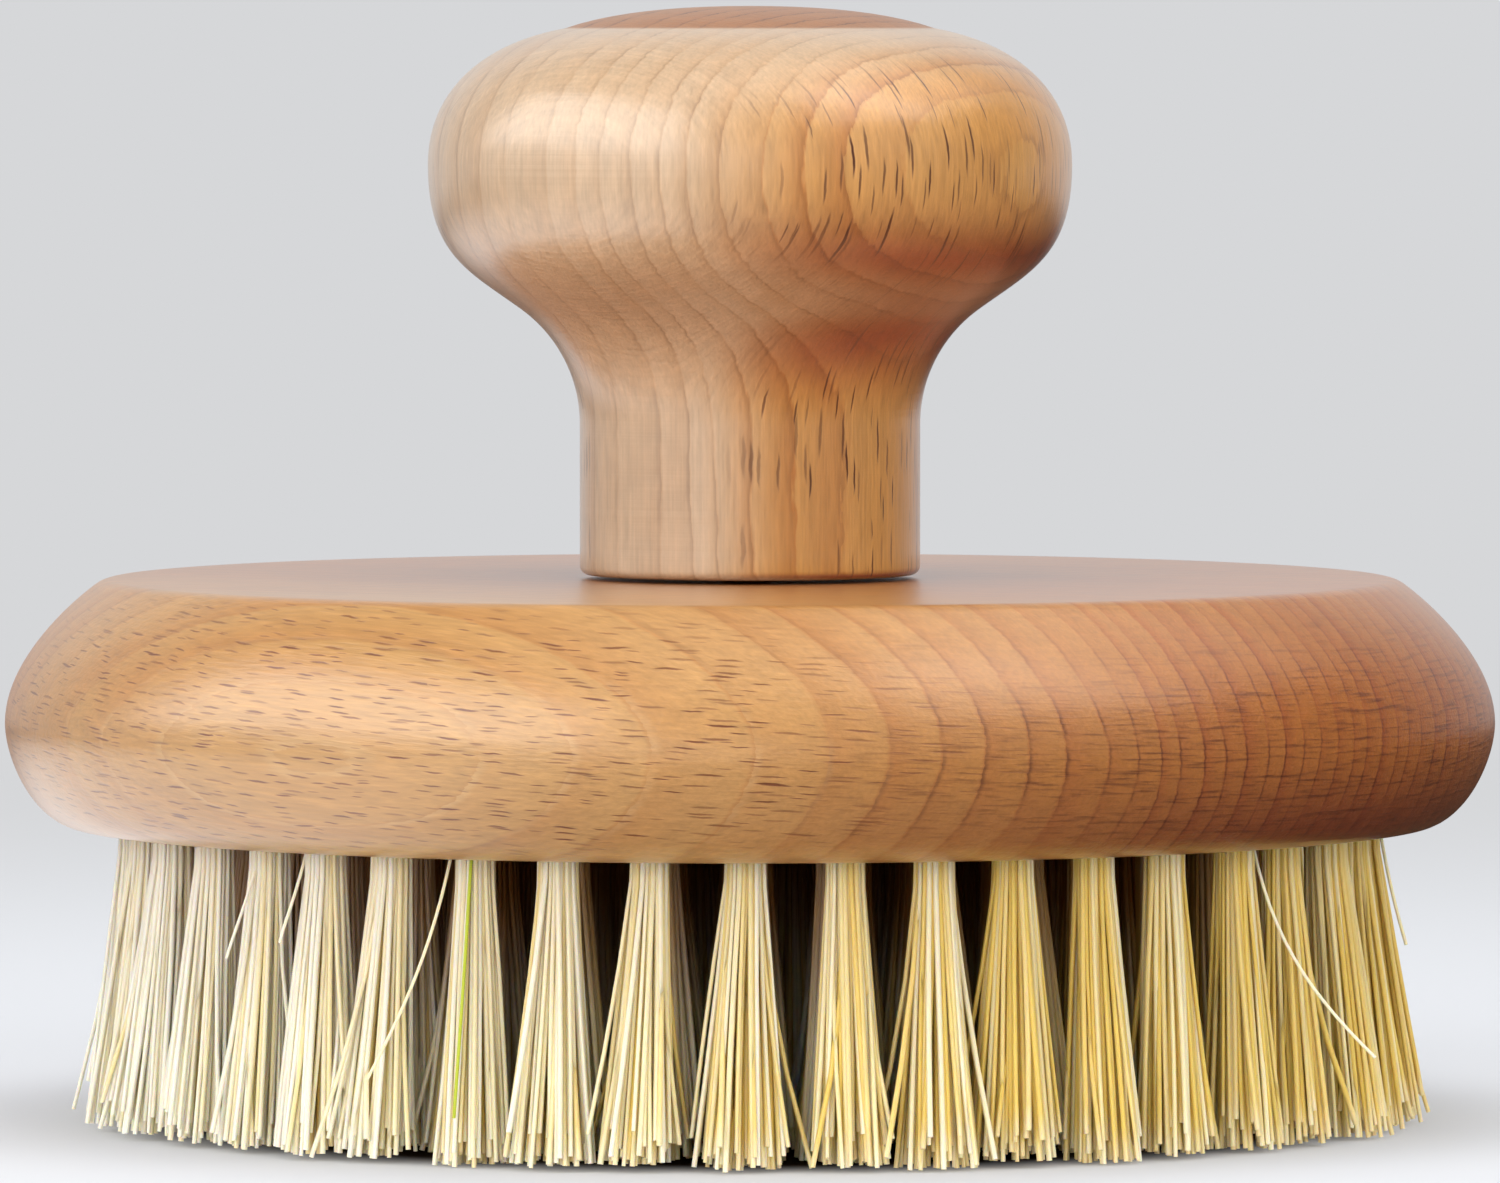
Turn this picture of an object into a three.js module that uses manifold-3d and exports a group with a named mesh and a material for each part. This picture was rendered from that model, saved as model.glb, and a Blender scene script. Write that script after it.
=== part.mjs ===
// Round body brush: a flat beech block with a turned palm knob on top and rings of plant fibre tufts below.
// Millimetres, +Z up. The origin is the centre of the surface that the fibre tips stand on.

import * as THREE from "three";
import { mergeVertices } from "three/addons/utils/BufferGeometryUtils.js";
import Module from "manifold-3d";

const wasm = await Module();
wasm.setup();

// Fit between pieces that seat on or in one another
const CLEARANCE = 0.3;

// Block: a turned disc with a bull-nosed rim
const FIBRE_TRIM = 24.1; // fibre standing out below the block
const BLOCK_THICKNESS = 19.7;
const BLOCK_DIAMETER = 120.3; // at the widest line of the rim
const RIM_LINE_HEIGHT = 8.2; // widest line above the underside
const TOP_INSET = 7.9; // edge of the flat top, in from the widest line
const BASE_INSET = 4.9; // edge of the underside, in from the widest line
const UPPER_NOSE = 4.4; // how far the rim runs on near its widest line, above and below it
const LOWER_NOSE = 2.6;
const UPPER_SLOPE = 4.4; // length and tilt of the rim's run into the flat top
const UPPER_SLOPE_TILT = THREE.MathUtils.degToRad(35);
const LOWER_SLOPE = 3.3; // length and tilt of the rim's run into the underside
const LOWER_SLOPE_TILT = THREE.MathUtils.degToRad(20);

// Knob: a straight neck that flares into a round palm bulb with a low dome
const NECK_DIAMETER = 27.5;
const FOOT_CHAMFER = 0.7;
const NECK_HEIGHT = 12.2; // straight part, above the foot
const FLARE_RADIUS = 11.4;
const FLARE_SWEEP = THREE.MathUtils.degToRad(54);
const BULB_DIAMETER = 52;
const BULB_LINE_HEIGHT = 20.9; // widest line of the bulb above the straight neck
const FLARE_RUN = 5.2; // how far the bulb keeps the flare's direction
const BULB_UNDERSIDE = 7.3; // how far the bulb runs on near its widest line, below and above it
const BULB_SHOULDER = 6.1;
const SHOULDER_HEIGHT = 11; // edge of the dome above the widest line
const SHOULDER_RUN = 6.6; // length and tilt of the shoulder's run into the dome
const SHOULDER_TILT = THREE.MathUtils.degToRad(10);
const DOME_DIAMETER = 29.8;
const DOME_RISE = 1.8;

// Screw that holds the knob, driven up through the block
const SCREW_DIAMETER = 4.5;
const SCREW_LENGTH = 35;
const SCREW_TIP = 6;
const SCREW_HEAD_DIAMETER = 9;
const SCREW_HEAD_EDGE = 0.5;
const SCREW_HEAD_DEPTH = 5; // head below the block's underside
const DRIVE_SPAN = 4.8; // cross recess for the driver
const DRIVE_WIDTH = 1.1;
const DRIVE_DEPTH = 1.9;
const HUB_WALL = 2.2; // wood left round the screw's counterbore

// Tufts: rings of holes, counted from the outer ring inwards
const TUFTS_IN_RING = [43, 36, 29, 23, 16, 9];
const STRANDS_IN_TUFT = [5, 3, 2, 2, 2, 2];
const TUFT_EDGE_MARGIN = 5.9; // outer ring of holes, in from the underside's edge
const TUFT_HOLE_DIAMETER = 3.1;
const TUFT_TIP_GAP = 0.6; // between neighbouring tufts where they are widest
const STRAND_SIDES = 3;
const ROOT_FILL = 0.92; // share of a tuft's room that its strands take, at the hole and at the tips
const TIP_FILL = 0.85;
const TUFT_LEAN = 1.4; // outward lean of the outer ring at its tips
const TIP_CUT = 0.5; // length trimmed off the longest strands to stand flat
const TIP_RAGGED = 1.6; // difference between the longest and the shortest strand
const SLICE_THICKNESS = 5; // backing that the strands are set in
const ROOT_DEPTH = 1; // strand let into its backing
const TUFT_TURN = Math.PI * (3 - Math.sqrt(5)); // golden angle: no two neighbours stand alike

// Wire staples that pin the folded tufts of the outer ring
const STAPLE_WIRE = 0.5;
const STAPLE_LEG = 4;

// Roundness of the turned pieces and of the bored ones
const BLOCK_FACETS = 64;
const KNOB_FACETS = 48;
const SCREW_FACETS = 16;
const HOLE_FACETS = 8;
const CURVE_STEPS = 6;
const DOME_STEPS = 4;

const blockRadius = BLOCK_DIAMETER / 2;
const baseRadius = blockRadius - BASE_INSET;
const screwRadius = SCREW_DIAMETER / 2;
const screwHeadRadius = SCREW_HEAD_DIAMETER / 2;
const screwHeadCone = screwHeadRadius - screwRadius;
const boreRadius = screwRadius + CLEARANCE;
const counterboreRadius = screwHeadRadius + CLEARANCE;
const tuftHoleRadius = TUFT_HOLE_DIAMETER / 2;

// Rings stand evenly between the wood round the screw and the outer ring
const hubRadius = counterboreRadius + HUB_WALL;
const outerRingRadius = baseRadius - TUFT_EDGE_MARGIN;
const ringSpacing = (outerRingRadius - hubRadius) / (TUFTS_IN_RING.length - 0.5);
const rings = TUFTS_IN_RING.map((tufts, index) => {
  const radius = outerRingRadius - index * ringSpacing;
  return { radius, tufts, strands: STRANDS_IN_TUFT[index] };
});
const chordsInRings = rings.map((ring) => 2 * ring.radius * Math.sin(Math.PI / ring.tufts));
const tuftPitch = Math.min(ringSpacing, ...chordsInRings);
const tuftTipRadius = (tuftPitch - TUFT_TIP_GAP) / 2;

// Finishes
const knobBeech = () => new THREE.MeshStandardMaterial({ color: 0xd9ae7c, roughness: 0.42, metalness: 0 });
const blockBeech = () => new THREE.MeshStandardMaterial({ color: 0xc68d57, roughness: 0.4, metalness: 0 });
const agaveFibre = () => new THREE.MeshStandardMaterial({ color: 0xeadfa6, roughness: 0.7, metalness: 0 });
const steel = () => new THREE.MeshStandardMaterial({ color: 0xb4b6b8, roughness: 0.35, metalness: 1 });

const brush = new THREE.Group();

function addPiece(name, geometry, finish, parent = brush) {
  const mesh = new THREE.Mesh(geometry, finish);
  mesh.name = name;
  parent.add(mesh);
  return mesh;
}

// Revolves a profile of (radius, height) points about the Z axis
function turned(profile, facets) {
  return new THREE.LatheGeometry(profile, facets).rotateX(Math.PI / 2);
}

function point(radius, height) {
  return new THREE.Vector2(radius, height);
}

function cubic(start, startPull, endPull, end) {
  return new THREE.CubicBezierCurve(start, startPull, endPull, end).getPoints(CURVE_STEPS);
}

function toSolid(geometry) {
  const bare = geometry.clone();
  bare.deleteAttribute("normal");
  bare.deleteAttribute("uv");
  const merged = mergeVertices(bare);
  const vertProperties = new Float32Array(merged.attributes.position.array);
  const triVerts = new Uint32Array(merged.index.array);
  return new wasm.Manifold(new wasm.Mesh({ numProp: 3, vertProperties, triVerts }));
}

function toGeometry(solid) {
  const mesh = solid.getMesh();
  const geometry = new THREE.BufferGeometry();
  geometry.setAttribute("position", new THREE.BufferAttribute(mesh.vertProperties, 3));
  geometry.setIndex(new THREE.BufferAttribute(mesh.triVerts, 1));
  geometry.computeVertexNormals();
  return geometry;
}

// Places of the tufts of a ring, the first one at the front
function tuftPlaces(ring) {
  return Array.from({ length: ring.tufts }, (_, index) => {
    const angle = (2 * Math.PI * index) / ring.tufts - Math.PI / 2;
    return { index, angle, x: ring.radius * Math.cos(angle), y: ring.radius * Math.sin(angle) };
  });
}

// Knob, foot at height 0, with the pilot hole that the screw bites in
function knobGeometry(pilotDepth) {
  const neckRadius = NECK_DIAMETER / 2;
  const flareAngle = Math.PI - FLARE_SWEEP;
  const flare = new THREE.EllipseCurve(
    neckRadius + FLARE_RADIUS, NECK_HEIGHT, FLARE_RADIUS, FLARE_RADIUS, Math.PI, flareAngle, true,
  ).getPoints(CURVE_STEPS);
  const flareEnd = flare[flare.length - 1];
  const flareDirection = point(Math.sin(FLARE_SWEEP), Math.cos(FLARE_SWEEP));
  const widest = point(BULB_DIAMETER / 2, NECK_HEIGHT + BULB_LINE_HEIGHT);
  const underside = cubic(
    flareEnd,
    flareEnd.clone().addScaledVector(flareDirection, FLARE_RUN),
    point(widest.x, widest.y - BULB_UNDERSIDE),
    widest,
  );
  const domeEdge = point(DOME_DIAMETER / 2, widest.y + SHOULDER_HEIGHT);
  const shoulder = cubic(
    widest,
    point(widest.x, widest.y + BULB_SHOULDER),
    point(
      domeEdge.x + SHOULDER_RUN * Math.cos(SHOULDER_TILT),
      domeEdge.y - SHOULDER_RUN * Math.sin(SHOULDER_TILT),
    ),
    domeEdge,
  );
  const domeTop = point(0, domeEdge.y + DOME_RISE);
  const dome = new THREE.QuadraticBezierCurve(
    domeEdge, point(domeEdge.x / 2, domeTop.y), domeTop,
  ).getPoints(DOME_STEPS);
  const profile = [
    point(0, pilotDepth),
    point(boreRadius, pilotDepth),
    point(boreRadius, 0),
    point(neckRadius - FOOT_CHAMFER, 0),
    point(neckRadius, FOOT_CHAMFER),
    ...flare,
    ...underside.slice(1),
    ...shoulder.slice(1),
    ...dome.slice(1),
  ];
  return turned(profile, KNOB_FACETS);
}

// Recess in the block's underside that takes the backing of the tufts
const recessDepth = SLICE_THICKNESS + CLEARANCE;
const recessRadius = outerRingRadius + ringSpacing / 2 + CLEARANCE / 2;
const recessHubRadius = hubRadius - CLEARANCE / 2;

// Block, underside at height 0
function blockGeometry() {
  const widest = point(blockRadius, RIM_LINE_HEIGHT);
  const topEdge = point(blockRadius - TOP_INSET, BLOCK_THICKNESS);
  const baseEdge = point(baseRadius, 0);
  const lowerRim = cubic(
    baseEdge,
    point(baseEdge.x + LOWER_SLOPE * Math.cos(LOWER_SLOPE_TILT), LOWER_SLOPE * Math.sin(LOWER_SLOPE_TILT)),
    point(widest.x, widest.y - LOWER_NOSE),
    widest,
  );
  const upperRim = cubic(
    widest,
    point(widest.x, widest.y + UPPER_NOSE),
    point(
      topEdge.x + UPPER_SLOPE * Math.cos(UPPER_SLOPE_TILT),
      topEdge.y - UPPER_SLOPE * Math.sin(UPPER_SLOPE_TILT),
    ),
    topEdge,
  );
  const profile = [
    ...lowerRim,
    ...upperRim.slice(1),
    point(boreRadius, BLOCK_THICKNESS),
    point(boreRadius, SCREW_HEAD_DEPTH + SCREW_HEAD_EDGE + screwHeadCone + CLEARANCE),
    point(counterboreRadius, SCREW_HEAD_DEPTH + SCREW_HEAD_EDGE + CLEARANCE),
    point(counterboreRadius, 0),
    point(recessHubRadius, 0),
    point(recessHubRadius, recessDepth),
    point(recessRadius, recessDepth),
    point(recessRadius, 0),
    baseEdge,
  ];
  const staplePocketDepth = STAPLE_LEG + CLEARANCE;
  let solid = toSolid(turned(profile, BLOCK_FACETS));
  for (const place of tuftPlaces(rings[0])) {
    const pocket = new THREE.CylinderGeometry(
      tuftHoleRadius, tuftHoleRadius, staplePocketDepth + CLEARANCE, HOLE_FACETS,
    );
    pocket.rotateX(Math.PI / 2);
    pocket.rotateZ(place.angle);
    pocket.translate(place.x, place.y, recessDepth + (staplePocketDepth - CLEARANCE) / 2);
    solid = solid.subtract(toSolid(pocket));
  }
  return toGeometry(solid);
}

// Countersunk wood screw, head at height 0, with a cross recess for the driver
function screwGeometry() {
  const profile = [
    point(0, 0),
    point(screwHeadRadius, 0),
    point(screwHeadRadius, SCREW_HEAD_EDGE),
    point(screwRadius, SCREW_HEAD_EDGE + screwHeadCone),
    point(screwRadius, SCREW_LENGTH - SCREW_TIP),
    point(0, SCREW_LENGTH),
  ];
  let solid = toSolid(turned(profile, SCREW_FACETS));
  for (const [spanX, spanY] of [[DRIVE_SPAN, DRIVE_WIDTH], [DRIVE_WIDTH, DRIVE_SPAN]]) {
    solid = solid.subtract(toSolid(new THREE.BoxGeometry(spanX, spanY, 2 * DRIVE_DEPTH)));
  }
  return toGeometry(solid);
}

// U-shaped staple, crown at height 0 and legs up, along the ring
function stapleGeometry() {
  const half = tuftHoleRadius - CLEARANCE;
  const inner = half - STAPLE_WIRE;
  const outline = new THREE.Shape([
    point(-half, 0),
    point(half, 0),
    point(half, STAPLE_LEG),
    point(inner, STAPLE_LEG),
    point(inner, STAPLE_WIRE),
    point(-inner, STAPLE_WIRE),
    point(-inner, STAPLE_LEG),
    point(-half, STAPLE_LEG),
  ]);
  const geometry = new THREE.ExtrudeGeometry(outline, { depth: STAPLE_WIRE, bevelEnabled: false });
  return geometry.translate(0, 0, -STAPLE_WIRE / 2).rotateX(Math.PI / 2);
}

// Thickness of one of several strands that stand in a ring inside a round bundle
function strandRadius(bundleRadius, strands, fill) {
  const share = Math.sin(Math.PI / strands);
  return (fill * bundleRadius * share) / (1 + share);
}

// One strand from its backing down to its tip, leaning with its tuft and away from the tuft's middle
function strandSolid(ring, place, strand) {
  const rootRadius = strandRadius(tuftHoleRadius, ring.strands, ROOT_FILL);
  const tipRadius = strandRadius(tuftTipRadius, ring.strands, TIP_FILL);
  const rootOffset = tuftHoleRadius - rootRadius;
  const tipOffset = tuftTipRadius - tipRadius;
  const shortfall = (TIP_RAGGED * ((strand + place.index) % ring.strands)) / (ring.strands - 1);
  const rootHeight = FIBRE_TRIM + ROOT_DEPTH;
  const tipHeight = shortfall - TIP_CUT;
  const length = rootHeight - tipHeight;
  const around = place.index * TUFT_TURN + (2 * Math.PI * strand) / ring.strands;
  const lean = (TUFT_LEAN * ring.radius) / outerRingRadius;
  const driftX = (tipOffset - rootOffset) * Math.cos(around) + lean * Math.cos(place.angle);
  const driftY = (tipOffset - rootOffset) * Math.sin(around) + lean * Math.sin(place.angle);
  const geometry = new THREE.CylinderGeometry(rootRadius, tipRadius, length, STRAND_SIDES);
  geometry.rotateX(Math.PI / 2).rotateZ(around).translate(0, 0, -length / 2);
  geometry.applyMatrix4(new THREE.Matrix4().makeShear(0, 0, 0, 0, -driftX / length, -driftY / length));
  const rootX = place.x + rootOffset * Math.cos(around);
  const rootY = place.y + rootOffset * Math.sin(around);
  return toSolid(geometry.translate(rootX, rootY, rootHeight));
}

// Rings of tufts with the ring of backing that they are set in, trimmed flat where they stand
function tuftGeometry(group) {
  const innerRadius = group.at(-1).radius - ringSpacing / 2 + CLEARANCE / 2;
  const outerRadius = group[0].radius + ringSpacing / 2 - CLEARANCE / 2;
  const backing = [
    point(innerRadius, FIBRE_TRIM),
    point(outerRadius, FIBRE_TRIM),
    point(outerRadius, FIBRE_TRIM + SLICE_THICKNESS),
    point(innerRadius, FIBRE_TRIM + SLICE_THICKNESS),
    point(innerRadius, FIBRE_TRIM),
  ];
  let solid = toSolid(turned(backing, BLOCK_FACETS));
  for (const ring of group) {
    for (const place of tuftPlaces(ring)) {
      for (let strand = 0; strand < ring.strands; strand += 1) {
        solid = solid.add(strandSolid(ring, place, strand));
      }
    }
  }
  const belowTips = new THREE.BoxGeometry(BLOCK_DIAMETER, BLOCK_DIAMETER, FIBRE_TRIM);
  return toGeometry(solid.subtract(toSolid(belowTips.translate(0, 0, -FIBRE_TRIM / 2))));
}

addPiece("brush_block", blockGeometry(), blockBeech()).position.z = FIBRE_TRIM;

const knobFootHeight = FIBRE_TRIM + BLOCK_THICKNESS + CLEARANCE;
const screwHeadHeight = FIBRE_TRIM + SCREW_HEAD_DEPTH;
const screwInKnob = screwHeadHeight + SCREW_LENGTH - knobFootHeight;
addPiece("knob_handle", knobGeometry(screwInKnob + CLEARANCE), knobBeech()).position.z = knobFootHeight;
addPiece("knob_screw", screwGeometry(), steel()).position.z = screwHeadHeight;

addPiece("outer_tufts", tuftGeometry(rings.slice(0, 1)), agaveFibre());
addPiece("second_tufts", tuftGeometry(rings.slice(1, 2)), agaveFibre());
addPiece("middle_tufts", tuftGeometry(rings.slice(2, 4)), agaveFibre());
addPiece("inner_tufts", tuftGeometry(rings.slice(4)), agaveFibre());

const staples = new THREE.Group();
staples.position.z = FIBRE_TRIM + recessDepth;
brush.add(staples);
for (const place of tuftPlaces(rings[0])) {
  const number = String(place.index + 1).padStart(2, "0");
  const staple = addPiece(`tuft_staple_${number}`, stapleGeometry(), steel(), staples);
  staple.position.set(place.x, place.y, 0);
  staple.rotation.z = place.angle + Math.PI / 2;
}

export default brush;
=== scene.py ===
# %% [markdown]
# A round body brush
#
# The brush is a thick disc of beech with a turned palm knob on top and rings of pale agave tufts below.
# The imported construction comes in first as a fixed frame: it says where each piece is and how large it is.
# Everything made here is in metres in that same frame, with the fibre tips standing on height 0.

# %% Load the construction
import math
import random

import bmesh
import bpy
from mathutils import Matrix, Vector


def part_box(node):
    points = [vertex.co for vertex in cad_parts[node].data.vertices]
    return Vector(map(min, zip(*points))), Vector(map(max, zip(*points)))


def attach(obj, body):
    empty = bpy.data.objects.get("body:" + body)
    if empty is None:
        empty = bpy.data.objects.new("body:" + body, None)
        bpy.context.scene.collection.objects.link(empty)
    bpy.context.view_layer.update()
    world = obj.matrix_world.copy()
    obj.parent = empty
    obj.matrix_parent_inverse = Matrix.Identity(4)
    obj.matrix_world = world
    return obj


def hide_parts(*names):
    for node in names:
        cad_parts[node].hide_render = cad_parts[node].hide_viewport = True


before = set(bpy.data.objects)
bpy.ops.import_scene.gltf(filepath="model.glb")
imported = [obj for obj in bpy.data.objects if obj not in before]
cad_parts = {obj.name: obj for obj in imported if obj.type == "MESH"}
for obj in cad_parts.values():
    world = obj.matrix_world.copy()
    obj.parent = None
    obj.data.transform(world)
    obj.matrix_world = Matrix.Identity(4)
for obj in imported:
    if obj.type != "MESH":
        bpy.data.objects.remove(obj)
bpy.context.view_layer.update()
MM = 0.001

# %% [markdown]
# Measures that every piece shares
#
# Heights and radii are read from the construction where it states them, so a piece always lands on its place.
# Depths and insets that a box can't tell are written in millimetres, as a turner would note them.

# %% Measures
block_low, block_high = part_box("brush_block")
knob_low, knob_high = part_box("knob_handle")
screw_low, screw_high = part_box("knob_screw")
staple_low, staple_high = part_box("tuft_staple_01")

UNDERSIDE = block_low.z
BLOCK_TOP = block_high.z
BLOCK_RADIUS = block_high.x
KNOB_FOOT = knob_low.z
KNOB_TOP = knob_high.z
BULB_RADIUS = knob_high.x
print(f"block {BLOCK_RADIUS * 2 / MM:.1f} mm across, underside {UNDERSIDE / MM:.1f} mm above the table")
print(f"knob {BULB_RADIUS * 2 / MM:.1f} mm across, {(KNOB_TOP - KNOB_FOOT) / MM:.1f} mm high")

# %% [markdown]
# The camera
#
# The photograph was taken with a long lens, level with the top of the knob: the edge of the knob's dome is a
# straight line, and that is the horizon. The camera looks slightly down from there and has no shift.

# %% Camera
PHOTO_WIDTH = 1500
PHOTO_HEIGHT = 1183
HORIZON_ROW = 27
FOCAL_PIXELS = 13500
SENSOR_WIDTH = 36
CAMERA_DISTANCE = 1090 * MM
CAMERA_HEIGHT = 88.3 * MM
FARTHEST_VIEW = 50


def place_object(name, data):
    """A new object in the scene, at the origin."""
    thing = bpy.data.objects.new(name, data)
    bpy.context.scene.collection.objects.link(thing)
    return thing


def make_camera():
    data = bpy.data.cameras.new("photo_camera")
    data.sensor_width = SENSOR_WIDTH
    data.lens = SENSOR_WIDTH * FOCAL_PIXELS / PHOTO_WIDTH
    data.clip_end = FARTHEST_VIEW
    camera = place_object("photo_camera", data)
    downward = math.atan((PHOTO_HEIGHT / 2 - HORIZON_ROW) / FOCAL_PIXELS)
    camera.location = (0, -CAMERA_DISTANCE, CAMERA_HEIGHT)
    camera.rotation_euler = (math.pi / 2 - downward, 0, 0)
    bpy.context.scene.camera = camera
    return camera


camera = make_camera()
bpy.context.scene.view_settings.view_transform = "Standard"
print(f"lens {camera.data.lens:.0f} mm")

# %% [markdown]
# Helpers for node trees
#
# Shaders and Geometry Nodes are both built from nodes and links. One helper adds a node and feeds its inputs,
# and the others write arithmetic, so that the trees below read almost like formulas.

# %% Adding nodes


def feed(tree, node, inputs):
    """Gives inputs of a node a link, where the value is another node's socket, or else a plain value."""
    for key, value in dict(inputs).items():
        if isinstance(value, bpy.types.NodeSocket):
            tree.links.new(value, node.inputs[key])
        else:
            node.inputs[key].default_value = value


def add_node(tree, kind, inputs=(), **options):
    node = tree.nodes.new(kind)
    for option, value in options.items():
        setattr(node, option, value)
    feed(tree, node, inputs)
    return node


# %% Arithmetic with nodes


def calc(tree, operation, *values):
    return add_node(tree, "ShaderNodeMath", enumerate(values), operation=operation).outputs[0]


def plus(tree, first, second):
    return calc(tree, "ADD", first, second)


def minus(tree, first, second):
    return calc(tree, "SUBTRACT", first, second)


def times(tree, *values):
    """The product of two or more values."""
    product = values[0]
    for value in values[1:]:
        product = calc(tree, "MULTIPLY", product, value)
    return product


def ratio(tree, first, second):
    return calc(tree, "DIVIDE", first, second)


def times_plus(tree, value, factor, addend):
    return calc(tree, "MULTIPLY_ADD", value, factor, addend)


def smooth_step(tree, value, low, high):
    inputs = {"Value": value, "From Min": low, "From Max": high}
    return add_node(tree, "ShaderNodeMapRange", inputs, interpolation_type="SMOOTHSTEP").outputs["Result"]


# %% Vectors with nodes


def vector_calc(tree, operation, *values):
    return add_node(tree, "ShaderNodeVectorMath", enumerate(values), operation=operation).outputs["Vector"]


def scaled(tree, vector, factor):
    node = add_node(tree, "ShaderNodeVectorMath", {"Vector": vector, "Scale": factor}, operation="SCALE")
    return node.outputs["Vector"]


def dot(tree, vector, direction):
    node = add_node(tree, "ShaderNodeVectorMath", {0: vector, 1: direction}, operation="DOT_PRODUCT")
    return node.outputs["Value"]


def length(tree, vector):
    return add_node(tree, "ShaderNodeVectorMath", {0: vector}, operation="LENGTH").outputs["Value"]


def combine(tree, x, y, z):
    return add_node(tree, "ShaderNodeCombineXYZ", {0: x, 1: y, 2: z}).outputs[0]


def separate(tree, vector):
    return add_node(tree, "ShaderNodeSeparateXYZ", {0: vector}).outputs


# %% Mixing colours


def blend(tree, factor, first, second, mode="MIX"):
    inputs = {0: factor, 6: first, 7: second}
    return add_node(tree, "ShaderNodeMix", inputs, data_type="RGBA", blend_type=mode).outputs[2]


def shaded(tree, tone, shade):
    """A colour made darker or lighter by a plain factor."""
    return blend(tree, 1.0, tone, combine(tree, shade, shade, shade), "MULTIPLY")


def color(red, green, blue):
    """A colour as it looks on screen, 0 to 255, in the linear values that Blender mixes."""
    linear = []
    for level in (red, green, blue):
        share = level / 255
        linear.append(share / 12.92 if share <= 0.04045 else ((share + 0.055) / 1.055) ** 2.4)
    return (*linear, 1.0)


# %% Groups of nodes
VALUE = "NodeSocketFloat"
COUNT = "NodeSocketInt"
COLOR = "NodeSocketColor"
VECTOR = "NodeSocketVector"
SHAPE = "NodeSocketGeometry"
FINISH = "NodeSocketMaterial"


def new_group(name, kind, inputs, outputs):
    group = bpy.data.node_groups.new(name, kind)
    for sockets, side in ((inputs, "INPUT"), (outputs, "OUTPUT")):
        for socket_name, socket_kind in sockets.items():
            group.interface.new_socket(name=socket_name, in_out=side, socket_type=socket_kind)
    given = group.nodes.new("NodeGroupInput").outputs
    result = group.nodes.new("NodeGroupOutput").inputs
    return group, given, result


print("helpers ready")

# %% [markdown]
# The studio
#
# The brush stands on a plain pale table that runs into an even pale background. The lamps are of two kinds.
# Two windows, a front wall and a ceiling light the brush, and are switched off for reflections. Gleams light
# nothing and are only mirrored in the oiled wood, so that each sheen can be set by itself: a broad one and a
# weak low one on the left, and two high ones on the right.

# %% Pale room
BACKGROUND = color(214, 215, 217)
AMBIENT = 0.52
DARK_SIDE = 0.08
BACK_OF_ROOM = (0.3, 0.95)


def backdrop_strength(tree, place):
    """Full strength where the camera sees the room, and an ambient light elsewhere. In reflections the room
    is bright at the back and dark on the camera's side."""
    path = add_node(tree, "ShaderNodeLightPath").outputs
    seen = calc(tree, "MAXIMUM", path["Is Camera Ray"], path["Is Transmission Ray"])
    back = smooth_step(tree, separate(tree, place)["Y"], *BACK_OF_ROOM)
    lit = times_plus(tree, back, 1 - DARK_SIDE, DARK_SIDE)
    straight = times_plus(tree, seen, 1 - AMBIENT, AMBIENT)
    mirrored = times(tree, path["Is Glossy Ray"], minus(tree, lit, straight))
    return plus(tree, straight, mirrored)


def make_room():
    world = bpy.data.worlds.new("pale_room")
    world.use_nodes = True
    tree = world.node_tree
    tree.nodes.clear()
    direction = add_node(tree, "ShaderNodeTexCoord").outputs["Generated"]
    sky = add_node(tree, "ShaderNodeBackground", {
        "Color": BACKGROUND, "Strength": backdrop_strength(tree, direction),
    })
    add_node(tree, "ShaderNodeOutputWorld", {"Surface": sky.outputs["Background"]})
    bpy.context.scene.world = world
    return world


room = make_room()
print("room", room.name)

# %% Directions
UP = Vector((0, 0, 1))


def towards(azimuth, rise=0.0):
    """A direction: azimuth 0 is towards the camera and positive to the right, and rise is above level."""
    turn, lift = math.radians(azimuth), math.radians(rise)
    return Vector((math.sin(turn) * math.cos(lift), -math.cos(turn) * math.cos(lift), math.sin(lift)))


print("camera side", tuple(towards(0)))

# %% Table
TABLE_RADIUS = 4.0
TABLE_SIDES = 96
NEAR_TABLE = 0.12
FAR_TABLE = 0.5
# Painted shadow under the brush, out to these radii and in this colour, and a painted glow on the left side
PAINTED_TUFT_SHADOW = (0.044, 0.054)
TABLE_COLOR = color(192, 194, 198)
PAINTED_SHADOW_COLOR = color(70, 58, 46)
WINDOW_SIDE = (0.2, 0.8)
TABLE_GLOW = 0.28
GLEAM_GLOW = 1.9


def object_place(tree):
    return add_node(tree, "ShaderNodeTexCoord").outputs["Object"]


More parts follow.
